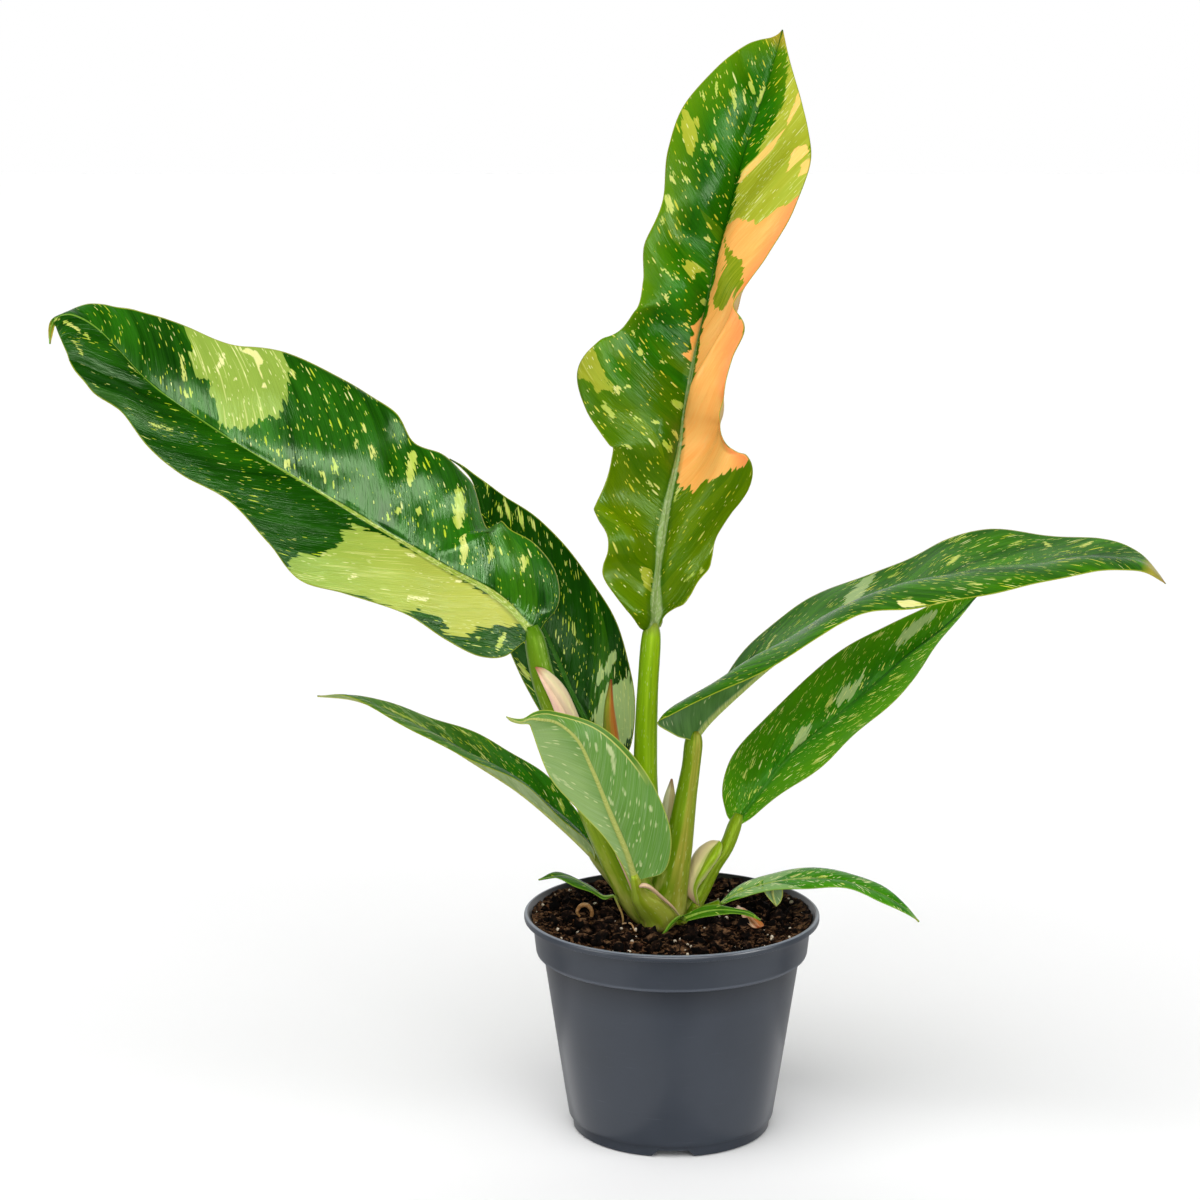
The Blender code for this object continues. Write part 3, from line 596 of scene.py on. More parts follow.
def blade_grid(leaf, end, direction):
    """The leaf's middle sheet: points, and for each its place on the leaf."""
    lines = blade_lines(leaf, end, direction)
    length = lengths(lines[0])[-1]
    shares = np.linspace(0, 1, max(24, round(length / ROW_STEP)))
    even = np.linspace(-1, 1, 2 * HALF_COLUMNS + 1)
    across = np.sign(even) * np.abs(even) ** 1.35
    rib, left, right = (along_curve(line, shares) for line in lines)
    ahead = along_curve(lines[0], np.minimum(1, shares + 0.05))
    behind = along_curve(lines[0], np.maximum(0, shares - 0.05))
    face = unit(np.cross(right - left, ahead - behind))
    side = np.where(across[None, :, None] > 0, (right - rib)[:, None], (left - rib)[:, None])
    half = np.linalg.norm(side, axis=-1)
    share = np.abs(across)[None, :]
    bulge = np.where(across > 0, leaf["bulge"][1], leaf["bulge"][0])[None, :]
    lift = 4 * share * (1 - share) * bulge * half
    points = rib[:, None] + side * share[..., None] + face[:, None] * lift[..., None]
    along = np.repeat(shares[:, None] * length, len(across), axis=1)
    return points, along, across[None, :] * half, half, length


def facing(points):
    """Which way the sheet faces at each of its points."""
    down, over = np.gradient(points, axis=0), np.gradient(points, axis=1)
    return unit(np.cross(over, down))


print("columns across a leaf:", 2 * HALF_COLUMNS + 1)

# %% [markdown]
# Side veins leave the midrib at a slant and curve towards the tip. Counting the distance along
# the midrib that a point's vein started from gives a number that is the same all along one
# vein; the veins then lie where that number is a multiple of their spacing, about 11 mm on a
# leaf this size. The same pair of numbers, which vein and how far along it, later steers the
# colours, because the flecks of a variegated leaf always stretch along its veins.

# %% Veins and thickness
VEIN_SPACING = 11.0
VEIN_DEPTH = 0.38
BLADE_THICKNESS = 0.9


def vein_places(along, across, half, slants):
    """For each point: where its vein left the midrib, and how far out on it the point is."""
    slant = np.where(across > 0, slants[1], slants[0])
    share = np.abs(across) / np.maximum(half, 1e-6)
    start = along - slant * np.abs(across) * (1 + 0.35 * share)
    return start, np.abs(across) * np.sqrt(1 + slant ** 2)


def relief(along, across, half, length, start, slants, seed, ruffle, puff):
    """How far the sheet stands above its smooth shape: veins, pillows, slow waves, ruffles."""
    share = np.abs(across) / np.maximum(half, 1e-6)
    wander = 1.2 * np.sin(start / 23 + seed) + 0.8 * np.sin(start / 9.1 + 2 * seed)
    gap = (start + wander) / VEIN_SPACING
    gap = np.abs(gap - np.round(gap)) * VEIN_SPACING
    ends = np.clip(along / 14, 0, 1) * np.clip((length - along) / 30, 0, 1)
    near_rib = np.clip(np.abs(across) / 4, 0, 1)
    vein = -VEIN_DEPTH * np.exp(-(gap / 1.1) ** 2) + 0.16 * np.cos(2 * np.pi * gap / VEIN_SPACING)
    vein = vein * ends * near_rib * (1 - share ** 3)
    slow = 0.7 * np.sin(along / 13 + seed + across / 17) * np.sin(across / 11 + 1.7 * seed)
    slow = slow + 0.45 * np.sin(along / 7.3 - across / 9 + 3 * seed)
    edge = ruffle * share ** 3 * np.sin(along / 9.0 + 2.2 * seed + np.sign(across)) * ends
    lobes = np.zeros(half.shape)
    window = np.exp(-np.linspace(-2, 2, 2 * round(56 / ROW_STEP) + 1) ** 2)
    for column, sides in ((0, across <= 0), (-1, across > 0)):
        rows = np.pad(half[:, column], len(window) // 2, mode="reflect", reflect_type="odd")
        extra = half[:, column] - np.convolve(rows, window / window.sum(), mode="valid")
        slant = slants[column]
        meets = start + 1.35 * slant * half[:, column].mean()
        lobes = np.where(sides, np.interp(meets, along[:, 0], extra), lobes)
    lobes = puff * lobes * 4 * share * (1 - 0.7 * share) * ends
    return vein + slow * ends * near_rib + edge + lobes


def leaf_skin(name, leaf, end, direction, materials, *nodes, slot="leaf_tissue", seed=0.0,
              slants=(1.2, 1.2), rib_radius=3.0, taper=2.0, keel=1.2, ruffle=0.5, puff=0.0,
              patches=(), strokes=()):
    """One leaf as a closed skin, with the numbers that its colours need."""
    points, along, across, half, length = blade_grid(leaf, end, direction)
    start, out = vein_places(along, across, half, slants)
    normal = facing(points)
    points = points + normal * relief(
        along, across, half, length, start, slants, seed, ruffle, puff)[..., None]
    normal = facing(points)
    share = np.abs(across) / np.maximum(half, 1e-6)
    radius = 0.45 + (rib_radius - 0.45) * (1 - along / length) ** taper
    bow = np.sqrt(np.clip(1 - (across / radius) ** 2, 0, 1))
    shoulder = np.exp(-((np.abs(across) - 1.25 * radius) / (0.5 * radius)) ** 2)
    thick = BLADE_THICKNESS * (1 - 0.72 * share ** 4) * np.clip(half / 6, 0.4, 1)
    top = points + normal * (thick / 2 + 0.22 * radius * bow - 0.07 * radius * shoulder)[..., None]
    under = points - normal * (thick / 2 + keel * radius * bow)[..., None]
    rows, columns = along.shape
    index = np.arange(rows * columns).reshape(rows, columns)
    a, b, c, d = index[:-1, :-1], index[:-1, 1:], index[1:, 1:], index[1:, :-1]
    front = np.stack([a, b, c, d], axis=-1).reshape(-1, 4)
    back = front[:, ::-1] + rows * columns
    loop = np.concatenate([index[0, :-1], index[:-1, -1], index[-1, :0:-1], index[:0:-1, 0]])
    after = np.roll(loop, -1)
    rim = np.stack([after, loop, loop + rows * columns, after + rows * columns], axis=-1)
    skin = np.concatenate([top.reshape(-1, 3), under.reshape(-1, 3)])
    piece = piece_from(name, skin, np.concatenate([front, back, rim]).tolist(), materials, slot,
                       *nodes)
    side = np.concatenate([np.zeros(len(front)), np.ones(len(back)), np.zeros(len(rim))])
    if len(materials) > 1:
        piece.data.polygons.foreach_set("material_index", side.astype(np.int32))
    both = lambda values: np.concatenate([values.ravel(), values.ravel()])
    edge_gap = np.minimum((1 - share) * half, np.minimum(along + 4, length - along))
    write_numbers(piece.data, rim=both(edge_gap), midrib=both(np.abs(across) / radius),
                  reach=both(along / length), side=both(np.sign(across) * share),
                  round_x=both(np.sign(across) * share), round_y=both(0 * share), up=both(along))
    for kind in ("lime", "cream", "gold", "olive"):
        write_numbers(piece.data, **{kind: both(patch_depth(
            [patch[1:] for patch in patches if patch[0] == kind], along, across, half, length))})
    write_numbers(piece.data, fleck=both(fleck_depth(strokes, along, across, half, length)))
    write_uv(piece.data, "vein", np.stack([both(start), both(out)], axis=-1))
    return piece


# %% [markdown]
# The patches of lime, cream, gold and olive are areas where a layer of the leaf lost its
# green. Each is drawn as an outline on the leaf, in per cent of the way from stalk to tip and
# per cent of the way from midrib to margin, left side negative. What the shader gets is how
# deep inside an outline each point lies, in millimetres; noise added to that depth gives the
# toothed border.

# %% Depth inside a patch
def patch_depth(outlines, along, across, half, length):
    """Depth inside the nearest outline, mm; below 0 outside it."""
    depth = np.full(along.shape, -30.0)
    if not outlines:
        return depth
    shares = along[:, 0] / length
    half_left, half_right = half[:, 0], half[:, -1]
    for outline in outlines:
        spots = np.array(outline, float).reshape(-1, 2) / 100
        width = np.where(spots[:, 1] > 0, np.interp(spots[:, 0], shares, half_right),
                         np.interp(spots[:, 0], shares, half_left))
        x, y = spots[:, 0] * length, spots[:, 1] * width
        gap = np.full(along.shape, 1e9)
        inside = np.zeros(along.shape, bool)
        for i in range(len(x)):
            j = (i + 1) % len(x)
            dx, dy = x[j] - x[i], y[j] - y[i]
            t = np.clip(((along - x[i]) * dx + (across - y[i]) * dy) / (dx * dx + dy * dy + 1e-9),
                        0, 1)
            gap = np.minimum(gap, np.hypot(along - x[i] - t * dx, across - y[i] - t * dy))
            crosses = (y[i] > across) != (y[j] > across)
            meet = x[i] + (across - y[i]) * dx / (dy if abs(dy) > 1e-9 else 1e-9)
            inside ^= crosses & (along < meet)
        depth = np.maximum(depth, np.where(inside, gap, -gap))
    return depth


print("thickest part of a blade, mm:", BLADE_THICKNESS)

# %% [markdown]
# ## What a leaf is finished with
# A leaf's skin is a clear waxy layer over green tissue, so it is glossy like polished leather,
# with a refractive index of 1.45 where it is at its best and less where it has dulled. The
# green itself is streaked along the veins. Over it lie the patches, then countless fine
# flecks, the pale midrib and the pale hard margin. The shader stacks them in that order, one
# mask after another.

# %% Leaf skin
def vein_spot(tree, across_mm, along_mm, shift):
    """Places on the blade at a pattern's own size, across the veins and along them."""
    return add(tree, "Mapping", {"Vector": add(tree, "UVMap", uv_map="vein"),
                                 "Location": (shift, shift, shift),
                                 "Scale": (1000 / across_mm, 1000 / along_mm, 1.0)})


def streaks(tree, across_mm, along_mm, detail=2.0, shift=0.0):
    """Noise that is drawn out along the veins; a shift gives another part of it."""
    spot = vein_spot(tree, across_mm, along_mm, shift)
    return add(tree, "TexNoise", {"Vector": spot, "Scale": 1.0, "Detail": detail})


def cells(tree, across_mm, along_mm, shift=0.0):
    """Scattered cells: how far off the nearest middle is, and three numbers for each cell."""
    spot = vein_spot(tree, across_mm, along_mm, shift)
    made = add(tree, "TexVoronoi", {"Vector": spot, "Scale": 1.0}, voronoi_dimensions="2D")
    return made.outputs["Distance"], add(tree, "SeparateColor", [made.outputs["Color"]]).outputs


def leaf_finish(name, dark="#104600", mid="#2C7606", lime="#A4C455", lime_deep="#8FB53C",
                speck="#B4C822", dots=1.0, rib="#93B13E", rib_far="#6F9C2C", rib_pale="#B7C98A",
                mellow=None, panels=0.05, panel="#3F7A08", lime_base=None, outer=None,
                cream=("#E9E59C", "#DCDD86"), streak="#CDD67C", edge="#A3AE2E", tip=0.982,
                dark_left=0.0, dark_right=0.0, fewer_left=0.0, level=0.42, ior=1.45):
    """The upper side of a variegated leaf."""
    material, tree, shader = new_material(name)
    rim, midrib, reach, side = (add(tree, "Attribute", attribute_name=key).outputs["Fac"]
                                for key in ("rim", "midrib", "reach", "side"))
    fine, broad = streaks(tree, 1.5, 20.0, 3.0), streaks(tree, 9.0, 40.0, 3.0, 5.0)
    tone = weighed(tree, (fine, 0.3), (broad, 0.5), (streaks(tree, 45.0, 70.0, 2.0, 8.0), 0.6))
    far, picks = cells(tree, 15.0, 70.0, 2.0)
    chosen = weighed(tree, (picks[0], 1.0), (fine, 0.2))
    # the last layer darkens the blade's left half and its right half by their own amounts, as
    # painted shade
    green = layered(tree, dark, (mid, tone, 0.52, 0.92),
                    (panel, chosen, 1.02 - panels, 1.15 - panels, 0.0, 0.5),
                    (dark, side, -0.05, 0.03, dark_left, dark_right))
    if outer:
        margin = weighed(tree, (rim, 1.0), (broad, 18.0))
        green = layered(tree, green, (outer, margin, 10.0, 30.0, 0.85, 0.0))
    if mellow:
        start, end, soft_dark, soft_light = mellow
        light = weighed(tree, (tone, 1.0), (picks[2], 0.35))
        soft = layered(tree, soft_dark, (soft_light, light, 0.5, 1.0))
        low = weighed(tree, (reach, 1.0), (picks[1], 0.12))
        green = layered(tree, green, (soft, low, start, end, 1.0, 0.0))
    teeth = weighed(tree, (streaks(tree, 3.6, 17.0, 2.5, 9.0), 10.0), (1.0, -5.0))
    nibble = weighed(tree, (streaks(tree, 1.7, 5.0, 2.0, 4.0), 6.0), (1.0, -3.0))

    def patch(key, ragged, share=1.0):
        """Where one kind of patch lies, with a ragged edge."""
        depth = add(tree, "Attribute", attribute_name=key).outputs["Fac"]
        return add(tree, "MapRange", [weighed(tree, (depth, 1.0), (ragged, share)), -0.22, 0.22])

    is_lime, is_gold = patch("lime", teeth), patch("gold", teeth, 0.7)
    between_veins = layered(tree, "#7FA82E", (lime_deep, fine))
    pale = layered(tree, lime_deep, (lime, tone, 0.5, 0.9),
                   (between_veins, weighed(tree, (broad, 1.0), (fine, 0.4)), 0.72, 0.9, 0.0, 0.5))
    far, picks = cells(tree, 1.5, 24.0, 6.0)
    threads = overlap(tree, (picks[0], 0.80, 0.84, 0.0, 0.7), (far, 0.30, 0.42, 1.0, 0.0))
    pale = layered(tree, pale, (streak, threads))
    if lime_base:
        low = weighed(tree, (reach, 1.0), (fine, 0.25))
        pale = layered(tree, pale, (lime_base, low, 0.2, 0.55, 0.9, 0.0))
    warm = layered(tree, "#FDBE66",
                   ("#FBA850", weighed(tree, (fine, 0.6), (broad, 0.7)), 0.5, 0.85),
                   ("#FF9A55", rim, 2.0, 9.0, 1.0, 0.0))
    olive = layered(tree, "#6F8A0C", ("#98A322", fine, 0.35, 0.65))
    creamy = layered(tree, cream[0], (cream[1], fine, 0.35, 0.65))
    skin = layered(tree, green, (pale, is_lime), (warm, is_gold), (olive, patch("olive", teeth)),
                   (creamy, patch("cream", teeth, 0.3)))
    fewer = add(tree, "MapRange", [side, -0.05, 0.05, fewer_left, 0.0])
    crowd = weighed(tree, (streaks(tree, 26.0, 70.0, 2.0, 1.0), 1.0), (fewer, -1.0), (1.0, -0.5))
    for across_mm, along_mm, amount, shift in ((1.8, 5.0, 1.0, 0.0), (3.4, 13.0, 0.8, 3.0)):
        far, picks = cells(tree, across_mm, along_mm, shift)
        many = weighed(tree, (picks[0], 1.0), (crowd, 0.9))
        inside = weighed(tree, (picks[1], 0.17), (1.0, 0.08), (far, -1.0))
        there = overlap(tree, (many, 1 - 0.40 * amount * dots, 1 - 0.37 * amount * dots),
                        (is_gold, 0.0, 1.0, 1.0, 0.15), (inside, 0.0, 0.06))
        rare = add(tree, "Math", [picks[2], 3.0], operation="POWER")
        paler = add(tree, "Math", [rare, is_lime], operation="MAXIMUM")
        skin = layered(tree, skin, (layered(tree, speck, ("#DFE396", paler)), there))
    flecks = layered(tree, "#A5BE3C", ("#D3D774", broad, 0.35, 0.65), ("#E8E7A0", is_lime))
    ribs = layered(tree, rib, (rib_pale, streaks(tree, 3.0, 1.2), 0.5, 0.62),
                   (rib_far, reach, 0.3, 0.62))
    skin = layered(tree, skin, (flecks, patch("fleck", nibble)), (edge, rim, 0.3, 0.75, 0.85, 0.0),
                   ("#A8962C", reach, tip - 0.02, tip, 0.0, 0.8),
                   ("#8A4420", reach, 0.4 * tip + 0.6, 1.0, 0.0, 0.9),
                   # painted shade in the grooves beside the midrib, then the midrib's own colours
                   (dark, midrib, 1.0, 2.1, 0.5, 0.0), (ribs, midrib, 0.8, 1.1, 0.95, 0.0))
    height = weighed(tree, (streaks(tree, 1.1, 14.0, 2.0, 7.0), 0.7), (broad, 0.9))
    bump = add(tree, "Bump", {"Strength": 0.8, "Distance": 0.0006, "Height": height})
    gloss = add(tree, "MapRange", [broad, 0.3, 0.7, 0.15, 0.26])
    feed(tree, shader, {"Base Color": skin, "Roughness": gloss, "Normal": bump, "IOR": ior,
                        "Specular IOR Level": level, "Specular Tint": "#D2F0C2"})
    return material


def underside_finish(name, base="#7F9F63", deep="#5F8440", rib="#A9B45A", halves=None,
                     turned=None, specks=0.72, pale="#95B07A"):
    """The underside: matt, grey-green, with veins, and the patches showing faintly through."""
    material, tree, shader = new_material(name)
    rim, midrib, reach, side = (add(tree, "Attribute", attribute_name=key).outputs["Fac"]
                                for key in ("rim", "midrib", "reach", "side"))
    fine, broad = streaks(tree, 1.2, 22.0, 3.0), streaks(tree, 9.0, 30.0)
    skin = layered(tree, deep, (base, broad, 0.35, 0.65))
    if halves:
        skin = layered(tree, skin, (halves[0], side, 0.35, -0.35, 0.0, 0.6),
                       (halves[1], side, -0.1, 0.5, 0.0, 0.7))
    place = add(tree, "SeparateXYZ", [add(tree, "UVMap", uv_map="vein")])
    vein = add(tree, "Math", [place, VEIN_SPACING / 2 * MM], operation="PINGPONG")
    skin = layered(tree, skin, (pale, vein, 0.0, 0.00045, 0.45, 0.0),
                   (pale, fine, 0.45, 0.75, 0.0, 0.35))
    for key, code, amount in (("lime", "#AFC27C", 0.75), ("gold", "#E0B070", 0.8),
                              ("cream", "#C9CC8C", 0.6), ("fleck", "#C3CF94", 0.85)):
        depth = add(tree, "Attribute", attribute_name=key).outputs["Fac"]
        ragged = weighed(tree, (depth, 1.0), (streaks(tree, 1.6, 5.0), 3.0), (1.0, -1.5))
        skin = layered(tree, skin, (code, ragged, -0.5, 0.5, 0.0, amount))
    far, picks = cells(tree, 1000 / 300, 1000 / 120)
    spots = overlap(tree, (picks[0], specks, specks + 0.04), (far, 0.1, 0.24, 0.7, 0.0))
    skin = layered(tree, skin, ("#C9D296", spots))
    if turned:
        width, start, end = turned
        for gap, code in ((width, "#B9BE62"), (width - 0.8, "#4F7E22")):
            strip = overlap(tree, (side, -0.3, -0.4), (reach, start, start + 0.1),
                            (reach, end, end - 0.03), (rim, gap, gap + 0.3, 1.0, 0.0))
            skin = layered(tree, skin, (code, strip))
    ribs = layered(tree, rib, ("#BCC06C", fine, 0.35, 0.7))
    skin = layered(tree, skin, ("#A9B544", rim, 0.3, 0.8, 0.9, 0.0),
                   (ribs, midrib, 0.7, 1.15, 1.0, 0.0))
    bump = add(tree, "Bump", {"Strength": 0.45, "Distance": 0.0005, "Height": fine})
    feed(tree, shader, {"Base Color": skin, "Roughness": 0.42, "Normal": bump, "IOR": 1.3,
                        "Specular IOR Level": 0.3})
    return material


underside = underside_finish("leaf_underside_skin")
print("underside:", underside.name)

# %% [markdown]
# ## The stalks
# Each leaf stalk is a firm round rod that widens into a clasping base, and all the bases wrap
# each other into the short crown. A stalk is a tube drawn along its line of points and radii.
# The ring of each step is turned as little as possible from the one before, so that the
# stripes run straight along the stalk.

# %% Stalk lines and tubes
STALKS = {
    "left_stalk": dict(rooted=3, points=[
        (-8, -3, 117, 3.5), (-11, -3.5, 122.5, 7.6), (-15.5, -4.5, 130, 10.4),
        (-21, -7, 140, 10.9), (-29, -11, 157, 10.3), (-38, -15, 176, 9.4),
        (-47, -18, 197, 8.5), (-56, -20, 222, 7.9), (-65, -22, 247, 7.2), (-73, -23, 269, 6.6),
        (-78, -24, 293, 5.3)]),
    "upright_stalk": dict(rooted=3, points=[
        (-7, 5, 128, 11.5), (-11, 7, 150, 9.4), (-13, 8, 166, 8.2), (-15, 8, 197, 7.1),
        (-15, 8, 226, 6.6), (-14, 7, 256, 6.0), (-12, 6, 289, 5.1)]),
    "right_stalk": dict(rooted=4, points=[
        (-3, 0, 122, 11.5), (-2, -1, 137, 11.2), (0.6, -3, 152, 9.8), (3.3, -4, 165, 8.4),
        (5.6, -5, 180, 7.2), (7.8, -5, 196, 6.2), (10.5, -6, 214, 5.3), (12, -6, 229, 5.0)]),
    "lower_right_stalk": dict(rooted=2, points=[
        (8, 7, 122, 7.0), (17, 9, 137, 5.5), (24, 10, 150, 4.6), (32, 12, 162, 4.2),
        (37, 14, 175, 3.9)]),
    "back_stalk": dict(rooted=2, points=[
        (-9, 15, 131, 7.0), (-17, 24, 153, 5.2), (-26, 25, 178, 4.4), (-34, 23, 204, 4.0)]),
    "front_stalk": dict(rooted=3, points=[
        (-6.5, -10, 117.5, 1.5, 1.2), (-6.8, -11, 120.3, 5.4, 1.3),
        (-7.4, -12, 123.8, 7.4, 1.35), (-9, -15, 130, 7.0, 1.4),
        (-13, -19, 136, 6.3, 1.42), (-18, -24, 142, 4.9, 1.15), (-20, -28, 148, 3.6, 1.0),
        (-21, -31, 153, 3.1, 1.0)]),
    "low_left_stalk": dict(rooted=2, points=[
        (-16, 7, 126, 7.0), (-30, 9, 139, 4.4), (-38, 8, 148, 3.2), (-44, 6, 156, 2.6)]),
    "new_leaf": dict(rooted=2, points=[
        (-17, 9, 140, 5.4), (-27, 11, 162, 4.6), (-31, 10, 196, 4.8), (-35, 8, 229, 4.4),
        (-36, 6, 246, 2.8), (-35, 5, 262, 0.6)]),
    "small_new_leaf": dict(rooted=2, points=[
        (-4, 12, 150, 5.0), (-2, 15, 167, 5.0), (-2, 14, 178, 4.7), (-1, 13, 191, 3.3),
        (0, 12, 202, 0.6)]),
}
CROWN_CORE = [(-6, 1, 84, 7), (-5, 1, 104, 9), (-4, 2, 122, 10.5), (-6, 1, 140, 12.5)]
CROWN_STUBS = {
    "rim_leaf": [(4, 6, 124, 3.5), (18, 5, 126, 2.6), (28, 4, 130, 2.4)],
    "strap_leaf": [(-2, -6, 121, 3.0), (4, -12, 124.5, 2.0)],
    "curled_leaf": [(3, -8, 122, 3.0), (7, -15, 126, 2.0)],
    "front_fold": [(-19, -33, 151, 0.8), (-17, -33.5, 152, 1.3), (-14, -33, 151, 1.3),
                   (-10, -30, 147, 1.1), (-5, -25, 141, 1.0), (0, -20, 135, 0.8),
                   (4, -14, 128, 0.6)],
}
SHOOT_STALK = [(-27, -16, 112, 0.7), (-28, -16, 123, 0.6), (-28.5, -16, 129, 0.6),
               (-31, -15, 135, 0.7), (-33, -14, 140, 0.9)]


RIDGES, RIDGE_HEIGHT = 7, 0.02


def line_end(points):
    """Where a line of points ends, and which way it goes there."""
    end, before = (np.array(points[i][:3], float) for i in (-1, -2))
    return end, unit(end - before)


def tube_skin(path, sides=28, step=2.0):
    """Points, faces and stripe places of a closed tube along (x, y, z, radius) points."""
    curve = smooth_curve(path)
    count = max(4, round(lengths(curve)[-1] / step))
    line = along_curve(curve, np.linspace(0, 1, count))
    centre, radius = line[:, :3], line[:, 3]
    wide = line[:, 4] if line.shape[1] > 4 else np.ones(count)
    tangent = unit(np.gradient(centre, axis=0))
    side = unit(np.cross(tangent[0], (0.0, 1.0, 0.001)))
    points, places = [], []
    angles = np.arange(sides + 1) * 2 * math.pi / sides
    travel = lengths(line)
    for i in range(count):
        side = unit(side - tangent[i] * side.dot(tangent[i]))
        other = np.cross(tangent[i], side)
        for angle in angles[:-1]:
            r = radius[i] * (1 + RIDGE_HEIGHT * math.cos(RIDGES * angle + 0.7))
            points.append(centre[i] + r * (wide[i] * math.cos(angle) * side
                                           + math.sin(angle) * other))
            places.append((angle / (2 * math.pi), travel[i]))
    faces = []
    for i in range(count - 1):
        for k in range(sides):
            j = (k + 1) % sides
            faces.append((i * sides + k, i * sides + j, (i + 1) * sides + j, (i + 1) * sides + k))
    faces.append(tuple(range(sides))[::-1])
    faces.append(tuple((count - 1) * sides + k for k in range(sides)))
    return points, faces, places


def stalk_piece(name, path, material, *nodes, slot="stalk_tissue", **shape):
    """A stalk with its stripe numbers: round it in turns, and along it in millimetres."""
    points, faces, places = tube_skin(path, **shape)
    piece = piece_from(name, points, faces, [material], slot, *nodes)
    places = np.array(places)
    turn = 2 * math.pi * places[:, 0]
    write_numbers(piece.data, round_x=np.cos(turn), round_y=np.sin(turn), side=-np.cos(turn),
                  up=places[:, 1], reach=places[:, 1] / places[-1, 1])
    return piece


print("stalks:", len(STALKS))

# %% [markdown]
# A stalk is lime green with darker stripes and small pale flecks along it; towards the crown
# it turns paler, almost beige. The skin is smooth and slightly glossy.

# %% Stalk skin
def stalk_finish(name, left="#7C9A10", right="#8CA41E", deep="#5E800A", base="#ABA45A",
                 tip=None, base_end=0.25, tip_start=0.9, flecks=0.4, stripes=0.5, middle=None):
    """Striped tissue: its two sides, its stripes, and how it changes at both of its ends."""
    material, tree, shader = new_material(name)
    round_x, round_y, up, side, reach = (
        add(tree, "Attribute", attribute_name=key).outputs["Fac"]
        for key in ("round_x", "round_y", "up", "side", "reach"))

    def drawn(round_it, along_mm, detail):
        """Noise drawn out along the stalk."""
        spot = add(tree, "CombineXYZ", [round_x, round_y, up])
        place = add(tree, "Mapping", {"Vector": spot,
                                      "Scale": (round_it, round_it, 1 / along_mm)})
        return add(tree, "TexNoise", {"Vector": place, "Scale": 1.0, "Detail": detail})

    stripe = drawn(4.5, 55.0, 3.0)
    blend = weighed(tree, (side, 1.0), (drawn(3.0, 30.0, 1.0), 1.0))
    skin = layered(tree, left, (right, blend, 0.15, 0.85))
    if middle:
        code, start, end = middle
        inner = overlap(tree, (blend, start, start + 0.35), (blend, end, end + 0.3, 1.0, 0.0))
        skin = layered(tree, skin, (code, inner))
    uneven = weighed(tree, (reach, 1.0), (drawn(2.0, 20.0, 2.0), 1.0))
    skin = layered(tree, skin, (deep, stripe, 0.42, 0.66, stripes, 0.0),
                   (base, uneven, 0.5, 0.5 + base_end, 0.9, 0.0))
    if tip:
        skin = layered(tree, skin, (tip, reach, tip_start, 1.0))
    skin = layered(tree, skin, ("#CCD68A", drawn(9.0, 5.0, 1.0), 0.66, 0.72, 0.0, flecks))
    bump = add(tree, "Bump", {"Strength": 0.35, "Distance": 0.0004, "Height": stripe})
    feed(tree, shader, {"Base Color": skin, "Roughness": 0.36, "Normal": bump, "IOR": 1.45,
                        "Specular IOR Level": 0.35, "Specular Tint": "#CBE46A"})
    return material


stalk_skin = stalk_finish("leaf_stalk_skin")
STALK_SKINS = {
    "left_stalk": stalk_finish("shaded_stalk_skin", "#8CA424", "#6A9808", "#587E02", "#B0B650",
                                "#4A7606", tip_start=0.6, base_end=0.22),
    "right_stalk": stalk_finish("beige_stalk_skin", "#628404", "#94A02C", "#5C7C06", "#B6B45A",
                                middle=("#A69C3C", 0.35, 1.0), base_end=0.2),
    "front_stalk": stalk_finish("clasping_stalk_skin", "#A8C040", "#A2A640", "#90A226",
                                "#B8B054", middle=("#869A18", 0.1, 0.7), base_end=0.25),
    "upright_stalk": stalk_finish("tall_stalk_skin", "#80AA0A", "#98BC18", "#629000", "#ABA45A",
                                  "#7C8A34", tip_start=0.955),
    "low_left_stalk": stalk_finish("low_stalk_skin", "#A7A868", "#8DA040", "#8A9A24", "#A9A45C")}
INTO_BLADE = 6.0
for name, stalk in STALKS.items():
    if name in ("new_leaf", "small_new_leaf"):
        continue
    path = [list(point) for point in stalk["points"]]
    end, ahead = line_end(path)
    path.append([*(end + INTO_BLADE * ahead), path[-1][3] * 0.6, *path[-1][4:]])
    stalk_piece(name + "_rod", path, STALK_SKINS.get(name, stalk_skin), name)
stalk_piece("crown_base", CROWN_CORE, stalk_skin, "crown", step=1.5)
print("stalk rods made")

# %% [markdown]
# Bits of root and twig lie about on the soil, most of them thin and brown; one is a curled husk.

# %% Roots and twigs
root_fibre = earthy("root_fibre", "#2A170B", "#5C3C22", "#94704A", 3.0, 0.85)
pale_husk = earthy("pale_husk", "#8A6236", "#C8A276", "#EAD2AC", 3.0, 0.7)
TWIGS = {
    "leaning_twig": (root_fibre, [(-43, 30, 119, 1.0), (-42, 28, 126, 0.9), (-44, 26, 131, 0.8),
                                  (-42, 25, 137, 0.5)]),
    "short_twig": (root_fibre, [(40, 32, 119, 1.0), (41, 32, 126, 0.9), (43, 31, 132, 0.5)]),
    "thin_root": (pale_husk, [(-32, -20, 122.5, 0.3), (-28, -19, 125, 0.4), (-24, -20, 125.4, 0.5),
                              (-22, -25, 123.5, 0.5), (-21, -30, 121.5, 0.3)]),
    "curled_husk": (pale_husk, [(-52, -3.5, 123.2, 0.6), (-54.4, -2, 126.5, 1.0),
                                (-52.4, -1.5, 130.2, 1.3), (-48.6, -2, 130.6, 1.35),
                                (-46, -3, 127.4, 1.2), (-46.8, -4, 123.6, 0.9),
                                (-49.4, -4.5, 122.2, 0.5)])}
for name, (material, points) in TWIGS.items():
    skin = tube_skin(points, sides=12, step=0.7)
    piece_from(name, skin[0], skin[1], [material], "peat")
all_points, all_faces = [], []
